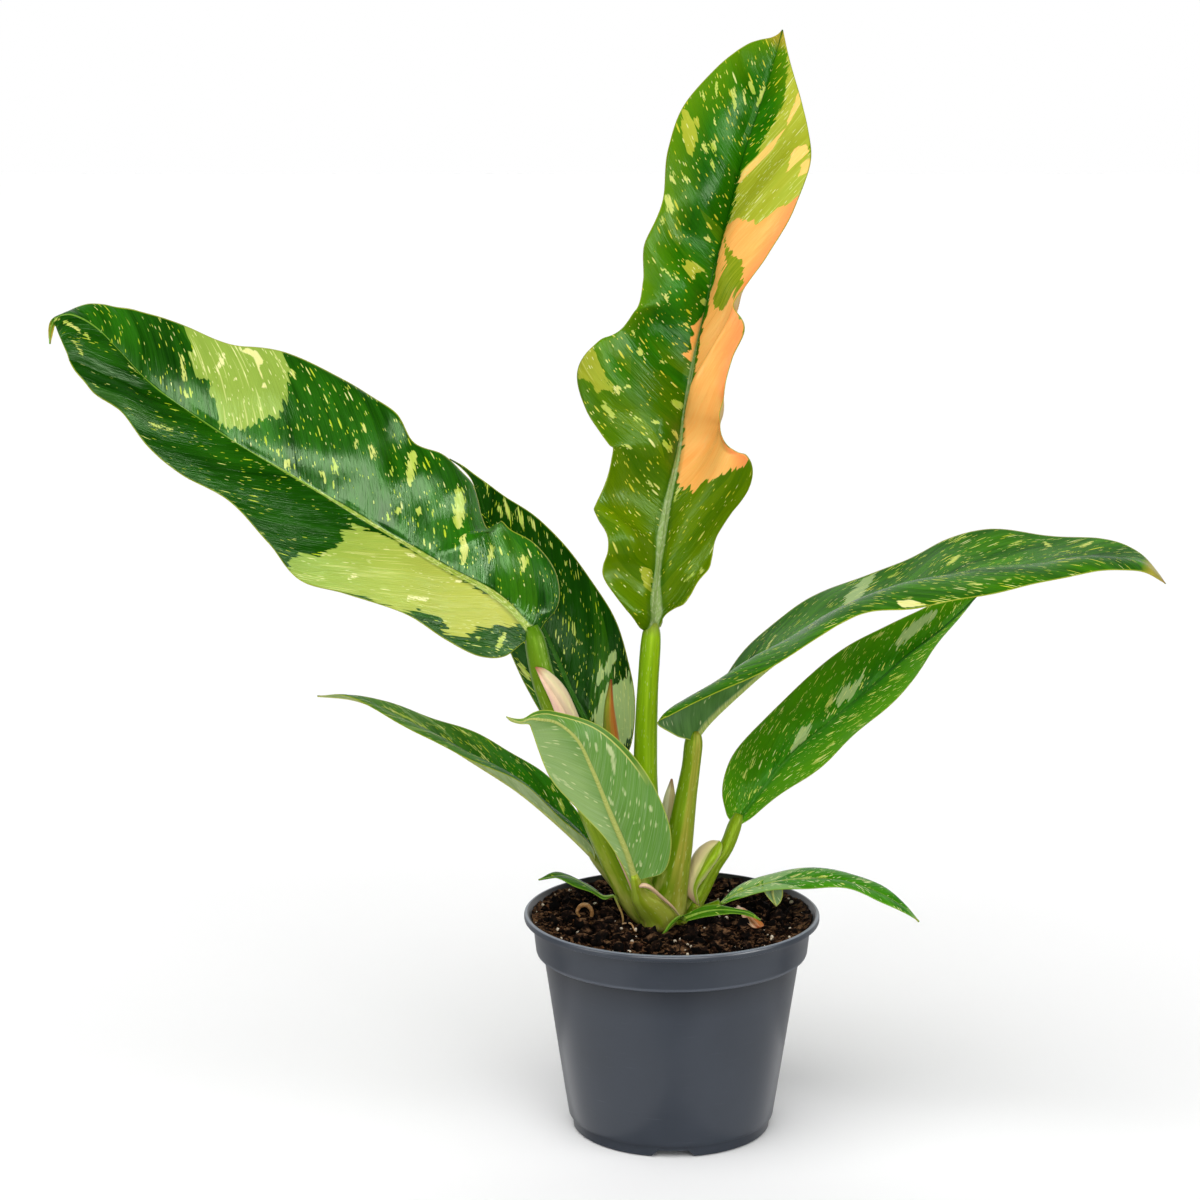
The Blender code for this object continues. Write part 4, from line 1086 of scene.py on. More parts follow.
for fibre in range(70):
    x, y, turn = *dice.uniform(-66, 66, 2), dice.uniform(0, 6.3)
    if math.hypot(x, y) > 66 or math.hypot(x + 8, y - 2) < 18:
        continue
    span, thick = dice.uniform(5, 16), dice.uniform(0.25, 0.6)
    points = []
    for step in range(4):
        points.append((x, y, crumbly(x, y) + dice.uniform(0.3, 2.4), thick))
        x, y = x + span / 4 * math.cos(turn), y + span / 4 * math.sin(turn)
        turn += dice.uniform(-0.9, 0.9)
    skin = tube_skin(points, sides=6, step=1.4)
    all_faces += [tuple(i + len(all_points) for i in face) for face in skin[1]]
    all_points += skin[0]
piece_from("root_fibres", all_points, all_faces, [root_fibre], "peat")
print("fibres:", len(all_faces), "faces")

# %% [markdown]
# ## The leaves
# These are the lines of every leaf, from its stalk to its tip, and how far each half bulges.

# %% Leaf lines
LEAVES = {
    "left_leaf": dict(
        bulge=(0.06, 0.07),
        rib=[(-97, -27, 315), (-129, -31, 334), (-167, -34, 358), (-205, -37, 382),
             (-244, -39, 406), (-285, -41, 436), (-300, -42, 452.5), (-310.4, -43, 464),
             (-318, -45, 470), (-325.4, -47.5, 473.2), (-330.3, -50, 472.7),
             (-333.1, -51.5, 470.5), (-334.8, -53, 465.5), (-335.5, -54, 458.1)],
        left=[(-84, -27, 290), (-94, -31, 284), (-109, -38, 285), (-126, -45, 295),
              (-148, -52, 311), (-180, -57, 323), (-204, -60, 331), (-220, -62, 351),
              (-241, -62, 375), (-266, -62, 389), (-284, -62, 404), (-297.3, -61, 422.4),
              (-311.6, -60, 432), (-317.1, -59.5, 438.3), (-322.3, -59, 444.7),
              (-325.8, -57.5, 453.1), (-328.3, -56, 458.8), (-330.6, -54.5, 464),
              (-332.4, -53, 468.2), (-333.2, -54, 465.1), (-334.3, -54.5, 460.8)],
        right=[(-73, -18, 300), (-66, -10, 310), (-68, -6, 325), (-79, -8, 342),
               (-91, -13, 351.5), (-96, -15, 357), (-98.6, -15.5, 355.8), (-102.5, -14, 353.5),
               (-105.5, -12, 359), (-108.3, -11, 368.5), (-111.6, -12, 377),
               (-118.5, -13.5, 384), (-128.6, -16.5, 393.5), (-143.6, -19, 400.5),
               (-154, -20, 418), (-184, -20, 436), (-213, -24, 451), (-240, -26, 455),
               (-268, -28, 466), (-298, -32, 476.2), (-309, -34, 478), (-318, -37, 478.8),
               (-323, -40, 477.7), (-326.6, -43.5, 476), (-330, -47, 474.1),
               (-333.6, -49.5, 472.2), (-335.5, -51, 469.9), (-336.2, -52.5, 466),
               (-336.1, -53.5, 461.8)]),
    "upright_leaf": dict(
        bulge=(0.06, 0.06),
        rib=[(-10, 7, 308), (-6, 10, 342), (3, 14, 395), (14, 20, 454), (27, 27, 509),
             (40, 34, 559), (53, 41, 597), (61, 48, 625)],
        left=[(-21, 2, 296), (-27.2, 0.5, 304.6), (-33.5, -1, 313.4), (-38.5, -2.5, 320.9),
              (-40.6, -4, 326.8), (-40.2, -5.5, 331.4), (-37.6, -8.5, 338.5),
              (-37.8, -8.5, 345.6), (-42.4, -3, 352.9), (-44.8, 1.5, 360), (-42.7, 1, 367.2),
              (-37.1, -2.5, 376.2), (-33.6, -6, 386.5), (-32.5, -9.5, 397.5),
              (-49, 2, 417), (-54, 6, 437), (-41, 4, 459),
              (-20, 0, 471), (-16, 6, 489), (-17, 12, 507), (-6, 14, 532), (-4, 18, 559),
              (4, 26, 581), (24, 34, 604), (39.4, 37.5, 616.3), (46.8, 41, 619),
              (54.3, 44.5, 620.6), (58.4, 46.5, 622.7)],
        right=[(-5, 1, 300), (0.5, -2, 304.3), (7.5, -4.5, 307.8), (10.9, -5, 312.7),
               (14.8, -6, 320.1), (20.2, -5, 327), (21.3, -3, 333), (22.5, -2.5, 342.2),
               (25.9, -4, 349.6), (31.3, -6, 358.4), (36.7, -8.5, 365.8), (41.4, -11, 374.6),
               (42.9, -14.5, 384.9), (40.5, -17, 396.3), (35.5, -19, 401.5), (29, -20, 407.5),
               (23, -14, 424), (29, -12, 446), (37, -14, 465),
               (36, -8, 484), (49, -4, 504), (66, 2, 528), (76, 12, 554), (70, 26, 587),
               (64, 40, 611)]),
    "right_leaf": dict(
        bulge=(-0.05, 0.16),
        rib=[(20, -7, 240), (38, -9, 258), (63, -12, 280), (93, -14, 299), (123, -16, 313),
             (154, -18, 324), (184, -20, 330), (214, -22, 334), (241, -24, 336),
             (260, -25, 333), (272, -26, 323)],
        left=[(17, 14, 235), (25, 28, 248), (40, 32, 271), (63, 34, 292), (91, 34, 310),
              (133, 30, 325), (156, 26, 340), (178, 24, 345), (209, 18, 344), (241, 6, 342),
              (261, -8, 337), (269, -20, 328)],
        right=[(1, -22, 236), (-9, -28, 244), (-1, -34, 250), (23, -42, 265), (49, -52, 279),
               (78, -58, 299), (105, -62, 314), (132, -64, 317), (164, -62, 322),
               (197, -58, 329), (231, -50, 334), (255, -38, 332)]),
    "lower_right_leaf": dict(
        bulge=(0.08, 0.06),
        rib=[(52, 16, 194), (68, 20, 213), (93, 24, 234), (115, 28, 252), (135, 33, 269),
             (156, 39, 284), (177, 46, 302), (194, 54, 318)],
        left=[(32, 18, 179), (30, 24, 192), (35, 30, 211), (55, 36, 232), (78, 40, 254),
              (101, 43, 273), (125, 45, 285), (148, 47, 296), (171, 50, 307)],
        right=[(46, 18, 177), (69, 26, 193), (93, 32, 209), (113, 38, 227), (134, 42, 245),
               (152, 46, 269), (172, 50, 295)]),
    "back_leaf": dict(
        bulge=(0.06, 0.06),
        rib=[(-42, 26, 219), (-56, 32, 245), (-73, 40, 282), (-91, 48, 315), (-108, 56, 350),
             (-112.5, 60, 363.5), (-115.8, 61.5, 370.2), (-121.9, 62, 376.5),
             (-128.8, 62, 381)],
        left=[(-50, 24, 210), (-67, 26, 225), (-83, 30, 250), (-95, 34, 276), (-107, 42, 307),
              (-114.5, 50, 338), (-114.5, 57, 354.5), (-114.6, 60.5, 364.5),
              (-117.2, 61.5, 370.2), (-122.8, 62, 376.2)],
        right=[(-24, 30, 216), (-21, 36, 243), (-25, 42, 266), (-35, 48, 294), (-56, 54, 324),
               (-76, 58, 345), (-98, 61, 360.5), (-109.6, 61.7, 368.3), (-113.7, 62, 371.3),
               (-121, 62, 377)]),
    "front_leaf": dict(
        bulge=(0.05, 0.05),
        rib=[(-27, -37, 173), (-37, -46, 200), (-46, -55, 225), (-54, -62, 243),
             (-65, -69, 254), (-73, -75, 257), (-79, -78, 258), (-84, -81, 257), (-89, -83, 259),
             (-91.5, -85, 261)],
        left=[(-5, -26, 158), (-1, -28, 177), (-8, -34, 203), (-22, -42, 228),
              (-41, -52, 248), (-62, -62, 258), (-71, -68, 261), (-77, -74, 261),
              (-83, -79, 258.6), (-88.6, -82, 259.6)],
        right=[(-29, -38, 165), (-39, -46, 183), (-55, -54, 203), (-68, -62, 220),
               (-75, -68, 238), (-78, -73, 250), (-79.5, -78, 255), (-84.5, -81, 256),
               (-89.5, -83, 258)]),
    "low_left_leaf": dict(
        bulge=(0.12, 0.0),
        rib=[(-50, 7, 162), (-64, 9, 175), (-87, 12, 194), (-110, 14, 209), (-133, 16, 223),
             (-156, 18, 236), (-182, 20, 247), (-204, 21, 249)],
        left=[(-45, -4, 164), (-56, -10, 178), (-75, -12, 196), (-98, -12, 212),
              (-123, -10, 223), (-144, -4, 232), (-170, 6, 245), (-190, 15, 250)],
        right=[(-44, 16, 166), (-59, 26, 185), (-76, 32, 202), (-100, 34, 217),
               (-123, 35, 227), (-152, 34, 238), (-180, 28, 247)]),
}

print("leaves on stalks:", len(LEAVES))

# %% [markdown]
# And these are the patches and the larger single flecks. A fleck is a short stroke: where it
# starts and ends on the leaf, and how wide it is in millimetres.

# %% Patches and flecks
PATCHES = {
    "back_leaf": [
        ("lime", 16, 15, 22, 40, 24, 60, 24, 77, 26, 98, 14, 106, 10, 95, 7, 74, 11, 12),
        ("lime", 23, 32, 27, 42, 32, 75, 32, 85, 30, 82),
    ],
    "left_leaf": [
        ("lime", 77, 106, 76, 83, 74, 73, 74, 62, 71, 42, 69, 43, 68, 38, 68, 31, 66, 25, 66, 20,
         64, 11, 64, 6, 62, 5, 60, 10, 60, 20, 59, 19, 59, 29, 58, 32, 58, 36, 57, 37, 57, 47, 60,
         76, 60, 82, 64, 106),
        ("lime", 37, -12, 36, -18, 38, -28, 38, -34, 37, -34, 37, -42, 40, -68, 43, -76, 44, -86,
         44, -100, 40, -106, 35, -100, 26, -99, 23, -93, 22, -82, 20, -82, 18, -74, 16, -82, 17,
         -90, 16, -92, 13, -83, 11, -62, 9, -55, 8, -43, 6, -40, 3, -7, 4, 0, 14, -7, 19, -2, 26,
         -3),
        ("cream", 68, 98, 66, 94, 64, 83, 64, 72, 61, 57, 62, 55, 62, 62, 66, 87, 68, 92),
    ],
    "lower_right_leaf": [
        ("lime", 64, -43, 69, -66, 78, -78, 79, -63, 77, -49, 64, -34),
        ("lime", 43, -33, 49, -38, 48, -27, 53, -29, 47, -11, 42, -14),
        ("lime", 24, -10, 31, -32, 34, -25, 28, 0, 24, -1),
    ],
    "right_leaf": [
        ("lime", 37.5, -28, 40, -66, 44, -97, 46.5, -96, 43, -60, 40, -24),
        ("cream", 52.6, 87, 55, 86, 57.5, 97, 54, 97),
        ("cream", 59, 99, 62, 100, 66, 106, 59, 106),
    ],
    "upright_leaf": [
        ("lime", 100, 77, 96, 96, 92, 71, 89, 64, 87, 54, 86, 43, 82, 25, 79, 20, 76, 6, 65, 8,
         65, 68, 68, 80, 70, 106, 77, 106, 86, 106),
        ("lime", 81, -99, 82, -92, 81, -86, 81, -75, 79, -68, 76, -69, 76, -77, 79, -94, 80, -93),
        ("lime", 61, -37, 61, -24, 60, -10, 59, -8, 59, -21, 58, -19, 58, -31, 60, -44),
        ("lime", 46, -100, 45.4, -92, 41, -74, 39.4, -70, 39.6, -82, 41, -89, 41, -98, 44,
         -106),
        ("lime", 44.6, -91, 43.4, -83, 39.6, -66, 38.4, -66, 40.3, -78),
        ("lime", 11, -34, 11, -13, 7, -16, 8, -32),
        ("cream", 90, 100, 88, 97, 80, 42, 74, 8, 74, 3, 76, 7, 84, 61, 85, 61, 88, 79),
        ("cream", 81, 95, 80, 97, 76, 75, 80, 77),
        ("cream", 80, 106, 77, 100, 76, 89, 78, 90),
        ("gold", 67, 9, 68, 26, 68, 68, 71, 80, 74, 106, 48, 106, 45, 23, 50, 11),
        ("gold", 55, 15, 56, 106, 53, 100, 50, 106, 45, 99, 36, 99, 32, 106, 26, 45, 24, 38, 25,
         28, 24, 23, 25, 5, 42, 6),
        ("gold", 51, -9, 46, -5, 46, -12, 44, 0, 53, 0),
        ("olive", 65, 18, 63, 38, 62, 70, 59, 88, 54, 43, 54, 26, 55, 18, 57, 30, 61, 42),
    ],
}

FLECKS = {
    "back_leaf": [
        (82, 84, 76, 51, 2.5), (78, 88, 72, 61, 2.3), (74, 87, 70, 76, 1.6),
        (81, 52, 78, 40, 1.8), (39, -91, 34, -82, 3), (43, 42, 40, 36, 1.6),
        (37, 36, 37, 40, 2.5), (37, 16, 36, 13, 1.6), (59, 83, 58, 79, 0.9),
        (65, 83, 64, 80, 0.9), (68, 88, 67, 83, 1.6), (55, 63, 54, 59, 0.9)],
    "front_leaf": [
        (39, -9, 35, -11, 1.3), (55, -65, 46, -40, 1.7), (67, -46, 64, -30, 1.5),
        (58, -66, 53, -60, 3.3), (31, -78, 29, -76, 1.7), (10, -30, 8, -29, 1.5),
        (25, -79, 23, -73, 1), (40, -44, 37, -42, 1.3), (61, -43, 58, -32, 1.3),
        (18, -33, 18, -31, 1), (30, -37, 28, -31, 0.8), (26, -40, 25, -36, 0.8),
        (63, 92, 57, 87, 0.8), (57, 77, 52, 75, 0.7), (56, -3, 55, -1, 0.9)],
    "left_leaf": [
        (39, 90, 35, 54, 3.9), (30, 82, 25, 58, 4.8), (23, 58, 18, 17, 3.2),
        (18, 63, 16, 39, 2.6), (14, 77, 12, 62, 3.2), (6, -53, 7, -85, 2.8),
        (46, 31, 44, 23, 2.3), (44, 64, 42, 56, 1.8), (46, 57, 45, 51, 1.4),
        (39, 61, 38, 50, 1.1), (33, 27, 32, 23, 2.1), (31, 40, 30, 35, 2.3),
        (33, 17, 32, 11, 1.4), (47, 72, 46, 67, 1.6), (36, 62, 36, 54, 1.1),
        (51, 10, 50, 2, 2.3), (60, 82, 59, 78, 1.6), (70, 79, 69, 57, 1.6),
        (53, 95, 52, 92, 1.1), (46, 18, 44, 9, 1.1), (94, -32, 91, -33, 2.1),
        (90, -26, 89, -29, 1.8), (96, 0, 95, -18, 1.6), (92, -64, 89, -65, 1.1),
        (74, -68, 70, -48, 1.4), (75, 57, 72, 27, 1.8), (71, 18, 70, 13, 1.4),
        (70, 84, 69, 58, 2.1), (66, 57, 66, 52, 1.1), (81, -8, 79, -4, 1.4),
        (24, -77, 21, -62, 2.1), (34, -80, 33, -72, 1.8), (26, -17, 25, -11, 1.4),
        (17, -12, 16, -10, 1.6), (11, -75, 10, -76, 1.6), (44, 63, 42, 56, 1.6),
        (46, 31, 44, 23, 2.1), (83, -47, 83, -52, 0.7), (60, 83, 59, 79, 1.4),
        (51, 9, 50, 3, 2.3)],
    "low_left_leaf": [
        (80, 37, 66, 26, 1.8), (66, 58, 61, 67, 1.2), (56, 85, 53, 79, 1.2),
        (60, 32, 58, 26, 0.9), (52, 48, 44, 25, 0.9), (21, 77, 17, 50, 2.3),
        (45, 87, 44, 90, 0.7), (38, 82, 37, 78, 0.7), (41, 58, 40, 56, 0.9),
        (26, 91, 24, 81, 0.9)],
    "lower_right_leaf": [
        (39, -23, 44, -39, 2.1), (26, 72, 30, 76, 1.4), (42, 82, 44, 90, 1.2),
        (56, 28, 60, 47, 1.2), (16, -50, 19, -59, 1.2), (13, -52, 15, -57, 1.6),
        (62, -88, 66, -85, 1.4), (40, 0, 43, 0, 0.9), (34, 28, 36, 34, 0.9),
        (41, 28, 43, 29, 0.9), (10, -17, 11, -11, 1.4), (35, -69, 37, -74, 0.9),
        (32, -82, 34, -88, 0.9), (32, 61, 34, 67, 0.9)],
    "right_leaf": [
        (59, -42, 61, -56, 3.1), (70, -67, 72, -78, 1.7), (48, -79, 50, -84, 1.5),
        (52, -38, 51, -43, 1.5), (60, -90, 63, -93, 1.5), (82, -67, 84, -84, 2.3),
        (23, -62, 26, -75, 1.5), (64, 76, 66, 81, 1.5), (70, 83, 71, 84, 1.3),
        (64, 91, 66, 92, 1), (71, -28, 72, -30, 1.9), (76, -83, 77, -70, 1.9)],
    "rim_leaf": [
        (37, 0, 46, 0, 2.5), (47, -6, 52, -11, 0.9), (35, -19, 40, -30, 1.2),
        (53, -34, 56, -38, 0.7), (10, -36, 12, -27, 1.3), (71, -2, 74, -8, 0.8),
        (20, -8, 22, -32, 0.8), (62, 0, 65, -3, 0.8), (59, 76, 60, 75, 0.8),
        (42, -32, 45, -40, 0.6)],
    "upright_leaf": [
        (78, -58, 77, -51, 2.8), (79, -51, 77, -39, 2.1), (73, -92, 72, -86, 2.5),
        (70, -96, 68, -80, 3.9), (87, -54, 85, -39, 2.8), (88, -40, 86, -26, 1.8),
        (90, -36, 88, -18, 2.5), (90, -3, 87, -5, 3), (76, -45, 75, -36, 1.6),
        (55, -12, 54, -1, 2.8), (56, -62, 55, -56, 1.8), (85, -91, 84, -82, 1.6),
        (87, -81, 85, -68, 1.2), (73, -75, 72, -70, 1.6), (82, -55, 81, -50, 1.2),
        (67, -92, 66, -86, 1.8), (60, -78, 58, -55, 1.4), (62, -8, 62, -5, 2.5),
        (82, 20, 82, 27, 1.2), (65, -21, 64, -16, 1.8), (38, -81, 35, -77, 2.8),
        (35, -57, 34, -52, 1.8), (34, -41, 34, -36, 2.8), (46, -56, 45, -48, 3),
        (33, -17, 32, -8, 3.8), (31, -30, 30, -18, 3.5), (38, -13, 37, -5, 4.3),
        (25, -35, 24, -27, 1.8), (13, 81, 12, 94, 2.5), (10, 63, 12, 73, 1.3),
        (31, -82, 30, -70, 1.5), (49, -71, 48, -66, 2), (40, -59, 40, -57, 2.5),
        (22, 12, 24, 13, 1.5), (44, -30, 44, -23, 1.5), (40, -68, 39, -64, 2.8)]}


def fleck_depth(strokes, along, across, half, length):
    """Depth inside the nearest stroke, mm; strokes are pointed at both ends."""
    depth = np.full(along.shape, -30.0)
    shares = along[:, 0] / length
    for a0, c0, a1, c1, wide in strokes:
        ends = []
        for a, c in ((a0, c0), (a1, c1)):
            column = half[:, -1] if c > 0 else half[:, 0]
            ends.append((a / 100 * length, c / 100 * np.interp(a / 100, shares, column)))
        (x0, y0), (x1, y1) = ends
        dx, dy = x1 - x0, y1 - y0
        t = np.clip(((along - x0) * dx + (across - y0) * dy) / (dx * dx + dy * dy + 1e-9), 0, 1)
        gap = np.hypot(along - x0 - t * dx, across - y0 - t * dy)
        depth = np.maximum(depth, wide / 2 * (0.55 + 0.45 * np.sin(math.pi * t)) - gap)
    return depth


print("patches:", sum(map(len, PATCHES.values())), "flecks:", sum(map(len, FLECKS.values())))

# %% [markdown]
# Each leaf grew in its own light, so each gets its own greens.

# %% Leaves on their stalks
UNDERSIDES = {
    "front_leaf": underside_finish("front_leaf_underside", "#76984A", "#5E883A", "#98A44C",
                                   ("#548C28", "#8FAC68"), (3.6, 0.38, 0.95), 0.7),
    "left_leaf": underside_finish("left_leaf_underside", "#3F7020", "#2A5A12",
                                  pale="#4E7A30"),
    "right_leaf": underside_finish("right_leaf_underside", "#4E7A34", "#3A6624", "#7C9A44",
                                   pale="#5A8440", specks=0.9),
    "low_left_leaf": underside_finish("low_leaf_underside", "#A2B67E", "#86A05E")}
LOOKS = {
    "left_leaf": dict(finish=dict(dots=0.62, lime_base="#BFC050", dark="#083400", mid="#2A7404",
                                 lime="#9CB64A", lime_deep="#85A23A",
                                 rib="#96AC3C", rib_pale="#C4CC78", fewer_left=0.14,
                                 # painted shade over the left half of this blade
                                 dark_left=0.45),
                     slants=(1.7, 0.9), rib_radius=2.7, taper=2.6, seed=0.3, puff=0.4),
    "upright_leaf": dict(
        finish=dict(mellow=(0.42, 0.50, "#265E00", "#5E7E02"), outer="#5C8A06",
                    dark="#155200", mid="#2F7A04",
                    lime="#BAC040", lime_deep="#98A21E", streak="#C6CC60",
                    rib="#8CA45C", rib_far="#245E12",
                    panels=0.12, panel="#63880A", cream=("#F4D272", "#FBC866"), dots=0.66,
                    rib_pale="#A9B884", edge="#8E9A1E", speck="#C8C42C", ior=1.36,
                    level=0.26),
        slants=(0.65, 1.3), rib_radius=4.1, taper=2.6, seed=1.1, ruffle=0.9, puff=1.3),
    "right_leaf": dict(finish=dict(dark="#124600", mid="#468A04", ior=1.22, lime="#A6BE80",
                                 lime_deep="#8EAC66", dots=0.7, tip=0.955,
                                 speck="#D0D63C"),
                       slants=(1.6, 1.6), rib_radius=1.9, keel=0.7, seed=2.3),
    "lower_right_leaf": dict(
        finish=dict(dark="#1F6400", mid="#449408", ior=1.25, level=0.25,
                    # painted shade over the right half of this blade
                    outer="#589C08", dark_right=0.4, lime="#B9D08A", lime_deep="#A0BE70",
                    rib="#2F7008", rib_far="#1F5804", rib_pale="#3C8010", dots=1.0, panels=0.0,
                    speck="#E2EA5E"),
        slants=(2.1, 2.6), rib_radius=1.4, ruffle=0.2, seed=3.1),
    "back_leaf": dict(finish=dict(dark="#0A3000", mid="#164C02", lime="#B2C886",
                                 lime_deep="#9CB870", rib="#2F6412", rib_far="#1B4A08", level=0.12,
                                 rib_pale="#3A701C", dots=0.7),
                     slants=(1.5, 1.5), rib_radius=2.4, seed=4.7),
    "front_leaf": dict(finish=dict(), slants=(1.3, 1.3), rib_radius=2.4, taper=1.7, keel=0.6,
                       seed=5.2),
    "low_left_leaf": dict(finish=dict(dark="#34700C", mid="#6E9E34", ior=1.25, level=0.12,
                                     mellow=(0.45, 0.8, "#103C00", "#2C7404"),
                                     panel="#8CAC60", panels=0.25),
                          slants=(1.5, 1.5), rib_radius=1.1, seed=0.9),
}
for name, look in LOOKS.items():
    stalk = STALKS[name.replace("_leaf", "_stalk")]["points"]
    skin = leaf_finish(name + "_skin", **look["finish"])
    under = UNDERSIDES.get(name, underside)
    shape = {key: value for key, value in look.items() if key != "finish"}
    slot = "leaf_underside" if name == "front_leaf" else "leaf_tissue"
    leaf = leaf_skin(name + "_blade", LEAVES[name], *line_end(stalk), [skin, under], name,
                     slot=slot, patches=PATCHES.get(name, ()), strokes=FLECKS.get(name, ()),
                     **shape)
    print(name, len(leaf.data.polygons), "faces")

# %% [markdown]
# ## Low leaves, sheaths and new leaves
# Small leaves and papery sheaths grow straight out of the crown. Being small, they get closer
# rows and fewer columns than the tall leaves.

# %% Low leaf lines
LOW_LEAVES = {
    "rim_leaf": dict(
        carrier=CROWN_STUBS["rim_leaf"], bulge=(0.1, 0.1), half=2.0,
        rib=[(42, 4, 137), (59, 2, 143), (77, -1, 146), (96, -5, 146), (116, -9, 141),
             (133, -13, 132), (141, -15, 125)],
        left=[(37, 10, 137), (52, 15, 143), (75, 16, 147), (98, 10, 148), (120, 0, 142),
              (134, -10, 133)],
        right=[(39, -3, 135), (59, -8, 142), (78, -13, 144), (101, -17, 144),
               (121, -19, 137), (134, -18, 130)]),
    "strap_leaf": dict(
        carrier=CROWN_STUBS["strap_leaf"], bulge=(0.1, 0.1), half=2.0,
        rib=[(10, -14, 127.6), (18, -15, 130.4), (27, -16.5, 132.2), (36, -18.5, 132.3),
             (43, -20, 131.4), (50, -22, 128)],
        left=[(10, -12, 129.6), (18, -12, 132.6), (27, -13.5, 133.8), (36.5, -17, 133.4),
              (44, -18.5, 132.2)],
        right=[(10.5, -16, 126), (19, -18, 128.4), (28, -19.5, 130.2), (35, -20.5, 131.2),
               (42, -22.5, 130.8)]),
    "curled_leaf": dict(
        carrier=CROWN_STUBS["curled_leaf"], bulge=(0.1, 0.1), half=1.2,
        rib=[(4, -20, 129), (-1, -26, 127), (-5, -31, 123)],
        left=[(4, -18, 127), (-2, -23, 125), (-6, -28, 122)],
        right=[(6, -21, 131), (1, -28, 129), (-4, -32, 124)]),
    "left_shoot_leaf": dict(
        carrier=SHOOT_STALK, bulge=(0.1, 0.1), half=0.8,
        rib=[(-40, -7, 138), (-50, 1, 142), (-62, 8, 145), (-77, 12, 142)],
        left=[(-39, -10, 136.5), (-47, -6, 140), (-56, -2, 142), (-67, 5, 145)],
        right=[(-39, -5.5, 137.5), (-46, 3, 141), (-56, 11, 144), (-67, 14, 146)]),
    "left_bract": dict(
        carrier=[(-21, -15, 136, 2.4), (-22, -19, 144, 1.6)], bulge=(0.2, 0.3), half=1.4,
        rib=[(-26, -23.5, 158), (-37, -27.5, 186), (-50, -31, 221), (-60, -33, 250),
             (-68, -33.5, 264), (-77, -32, 277)],
        left=[(-29, -24, 160), (-44, -29.5, 192), (-57, -33, 223), (-66, -34, 251),
              (-73, -34, 267), (-76, -33, 274)],
        right=[(-24, -21, 154), (-31, -24, 175), (-44, -27, 218), (-54, -27, 250),
               (-62, -29, 267), (-72, -31, 276)]),
    "lower_right_bract": dict(
        carrier=[(9, 3, 119, 4.2), (14, 0, 131, 2.4)], bulge=(0.3, 0.3), half=2.2,
        rib=[(12.5, -1, 141), (17.5, 0, 153), (23, 4, 162), (27.5, 5, 167)],
        left=[(8.5, 2.5, 137), (9, 5, 150), (14, 8, 160.5), (22.5, 8, 166.5)],
        right=[(14.5, -1.5, 140), (22, -1, 151), (28, 0.5, 160), (29, 3.5, 165.5)]),
}

DRY_BRACT = dict(
    carrier=[(37, 4, 9.5, 1.0), (38, 1, 9.0, 1.0)], bulge=(0.2, 0.2), half=2.4,
    rib=[(43, -9, 7.2), (49, -23, 4.0)],
    left=[(38, -3, 8.6), (41, -14, 6.6), (46, -23, 4.0)],
    right=[(43, -2, 8.6), (48, -11, 7.0), (52, -20, 4.4)])


small_skin = leaf_finish("small_leaf_skin", dark="#1C4C00", mid="#4A760E", dots=0.25, ior=1.3,
                         edge="#6E962A", rib="#7C9C34", rib_pale="#8CA844")
pale_skin = leaf_finish("pale_leaf_skin", dark="#236C02", mid="#4E9A12", lime="#C6CF92", dots=1.2,
                        speck="#E6EBA8", panels=0.14, panel="#A8C684", ior=1.2,
                        edge="#7FA63A")
SHEATHS = {
    "left_bract": stalk_finish("pink_sheath_skin", "#EBC3AE", "#D3C79E", "#DDA892", "#E3BDA6",
                               "#9A4A3A", 0.1, 0.95, 0.0, 0.3),
    "lower_right_bract": stalk_finish("green_sheath_skin", "#CDBB8E", "#D6CDA0", "#B9B070",
                                      "#BC9C7C", None, 0.2, 0.9, 0.0, 0.25,
                                      ("#82A406", 0.3, 1.3))}
dry_skin = stalk_finish("dry_sheath_skin", "#E2C4A2", "#C87A3A", "#A8623A", "#E0C8B0", "#8A3A1C",
                        0.3, 0.85, 0.0, 0.8)
thread_skin = stalk_finish("thread_skin", "#B08C5C", "#9A7848", "#7C5C34", "#B4905E", "#6E8A30",
                           0.2, 0.7, 0.0, 0.3)


def on_soil(points):
    """Points given above the soil, at their full height."""
    return [(x, y, z + soil_height(x, y), *rest) for x, y, z, *rest in points]


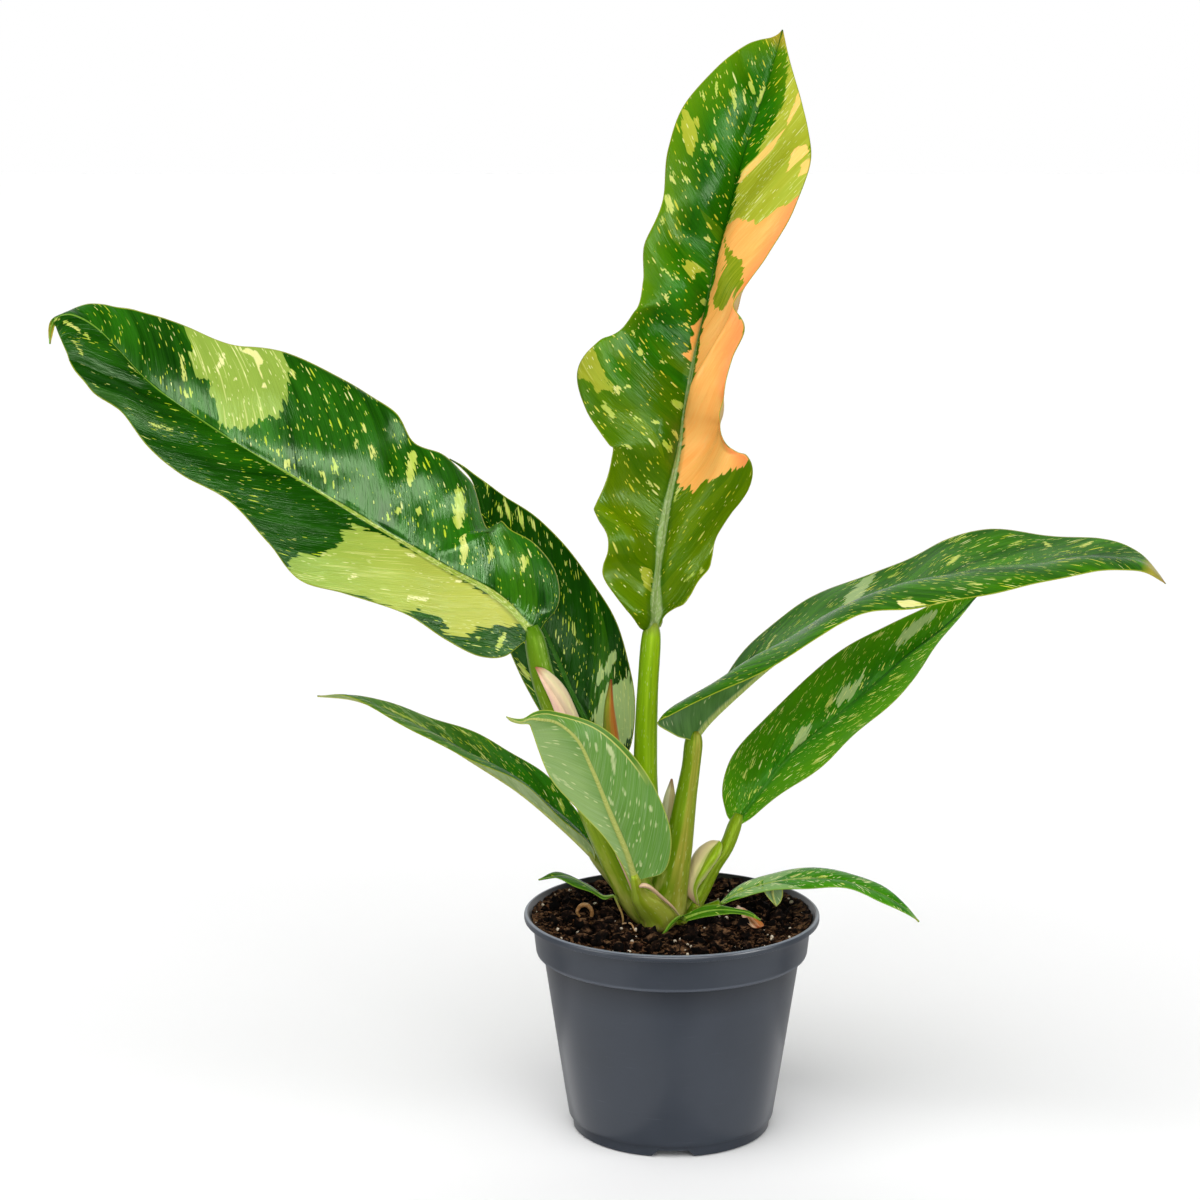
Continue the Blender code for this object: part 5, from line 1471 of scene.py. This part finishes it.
HALF_COLUMNS = 22
ROW_STEP = 1.0
for name, leaf in LOW_LEAVES.items():
    carrier = leaf["carrier"]
    finish = pale_skin if name == "rim_leaf" else SHEATHS.get(name, small_skin)
    slot = "bract_tissue" if "bract" in name else "leaf_tissue"
    leaf_skin(name + "_blade", leaf, *line_end(carrier),
              [finish, underside if name == "rim_leaf" else finish], name, slot=slot,
              rib_radius=1.2, ruffle=0.2, strokes=FLECKS.get(name, ()), seed=len(name))
    if name == "left_shoot_leaf":
        stalk_piece("left_shoot_rod", carrier, thread_skin, "left_shoot_stalk", step=1.0)
    else:
        stalk_piece(name + "_foot", carrier, STALK_SKINS["right_stalk"], step=1.0)
dry = {line: on_soil(DRY_BRACT[line]) for line in ("carrier", "rib", "left", "right")}
leaf_skin("dry_bract_blade", dict(DRY_BRACT, **dry), *line_end(dry["carrier"]), [dry_skin],
          "dry_bract", slot="dry_tissue", rib_radius=0.8, ruffle=0.3)
scrap = dict(bulge=(0.1, 0.1), half=6.0, rib=[(58, -4.2, 137), (60, -5, 131)],
             left=[(53.6, -4, 138), (56.6, -4.6, 134.4)],
             right=[(63.6, -4, 137), (62.2, -4.6, 133.2)])
leaf_skin("torn_scrap", scrap, np.array([57.6, -3.4, 142.6]), np.array([0.05, -0.1, -0.99]),
          [underside], rib_radius=0.6, ruffle=0.9)
print("low leaves and sheaths:", len(LOW_LEAVES) + 1)

# %% [markdown]
# Two new leaves have not opened yet. Each is rolled up on its stalk, so it is a tube too, and
# the pale edge of a clasping stalk is another.

# %% New leaves, still rolled
ROLLS = {
    "new_leaf": stalk_finish("red_roll_skin", "#7E9426", "#B4522A", "#A0842E", "#869E28",
                             "#7A2A1C", 0.45, 0.9, 0.1),
    "small_new_leaf": stalk_finish("pale_roll_skin", "#DCD4B0", "#B49A68", "#C4C292", "#C0C684",
                                   "#8A5A48", 0.3, 0.88, 0.0, 0.3)}
for name, finish in ROLLS.items():
    stalk_piece(name + "_roll", STALKS[name]["points"], finish, name, step=1.0)
fold_skin = stalk_finish("rolled_edge_skin", "#D8B498", "#CDAE86", "#BC9C70", "#D9B79C",
                         "#B9B27A", 0.1, 0.7, 0.0, 0.3)
stalk_piece("front_stalk_fold", CROWN_STUBS["front_fold"], fold_skin, step=1.0)
print("rolled leaves: 2")
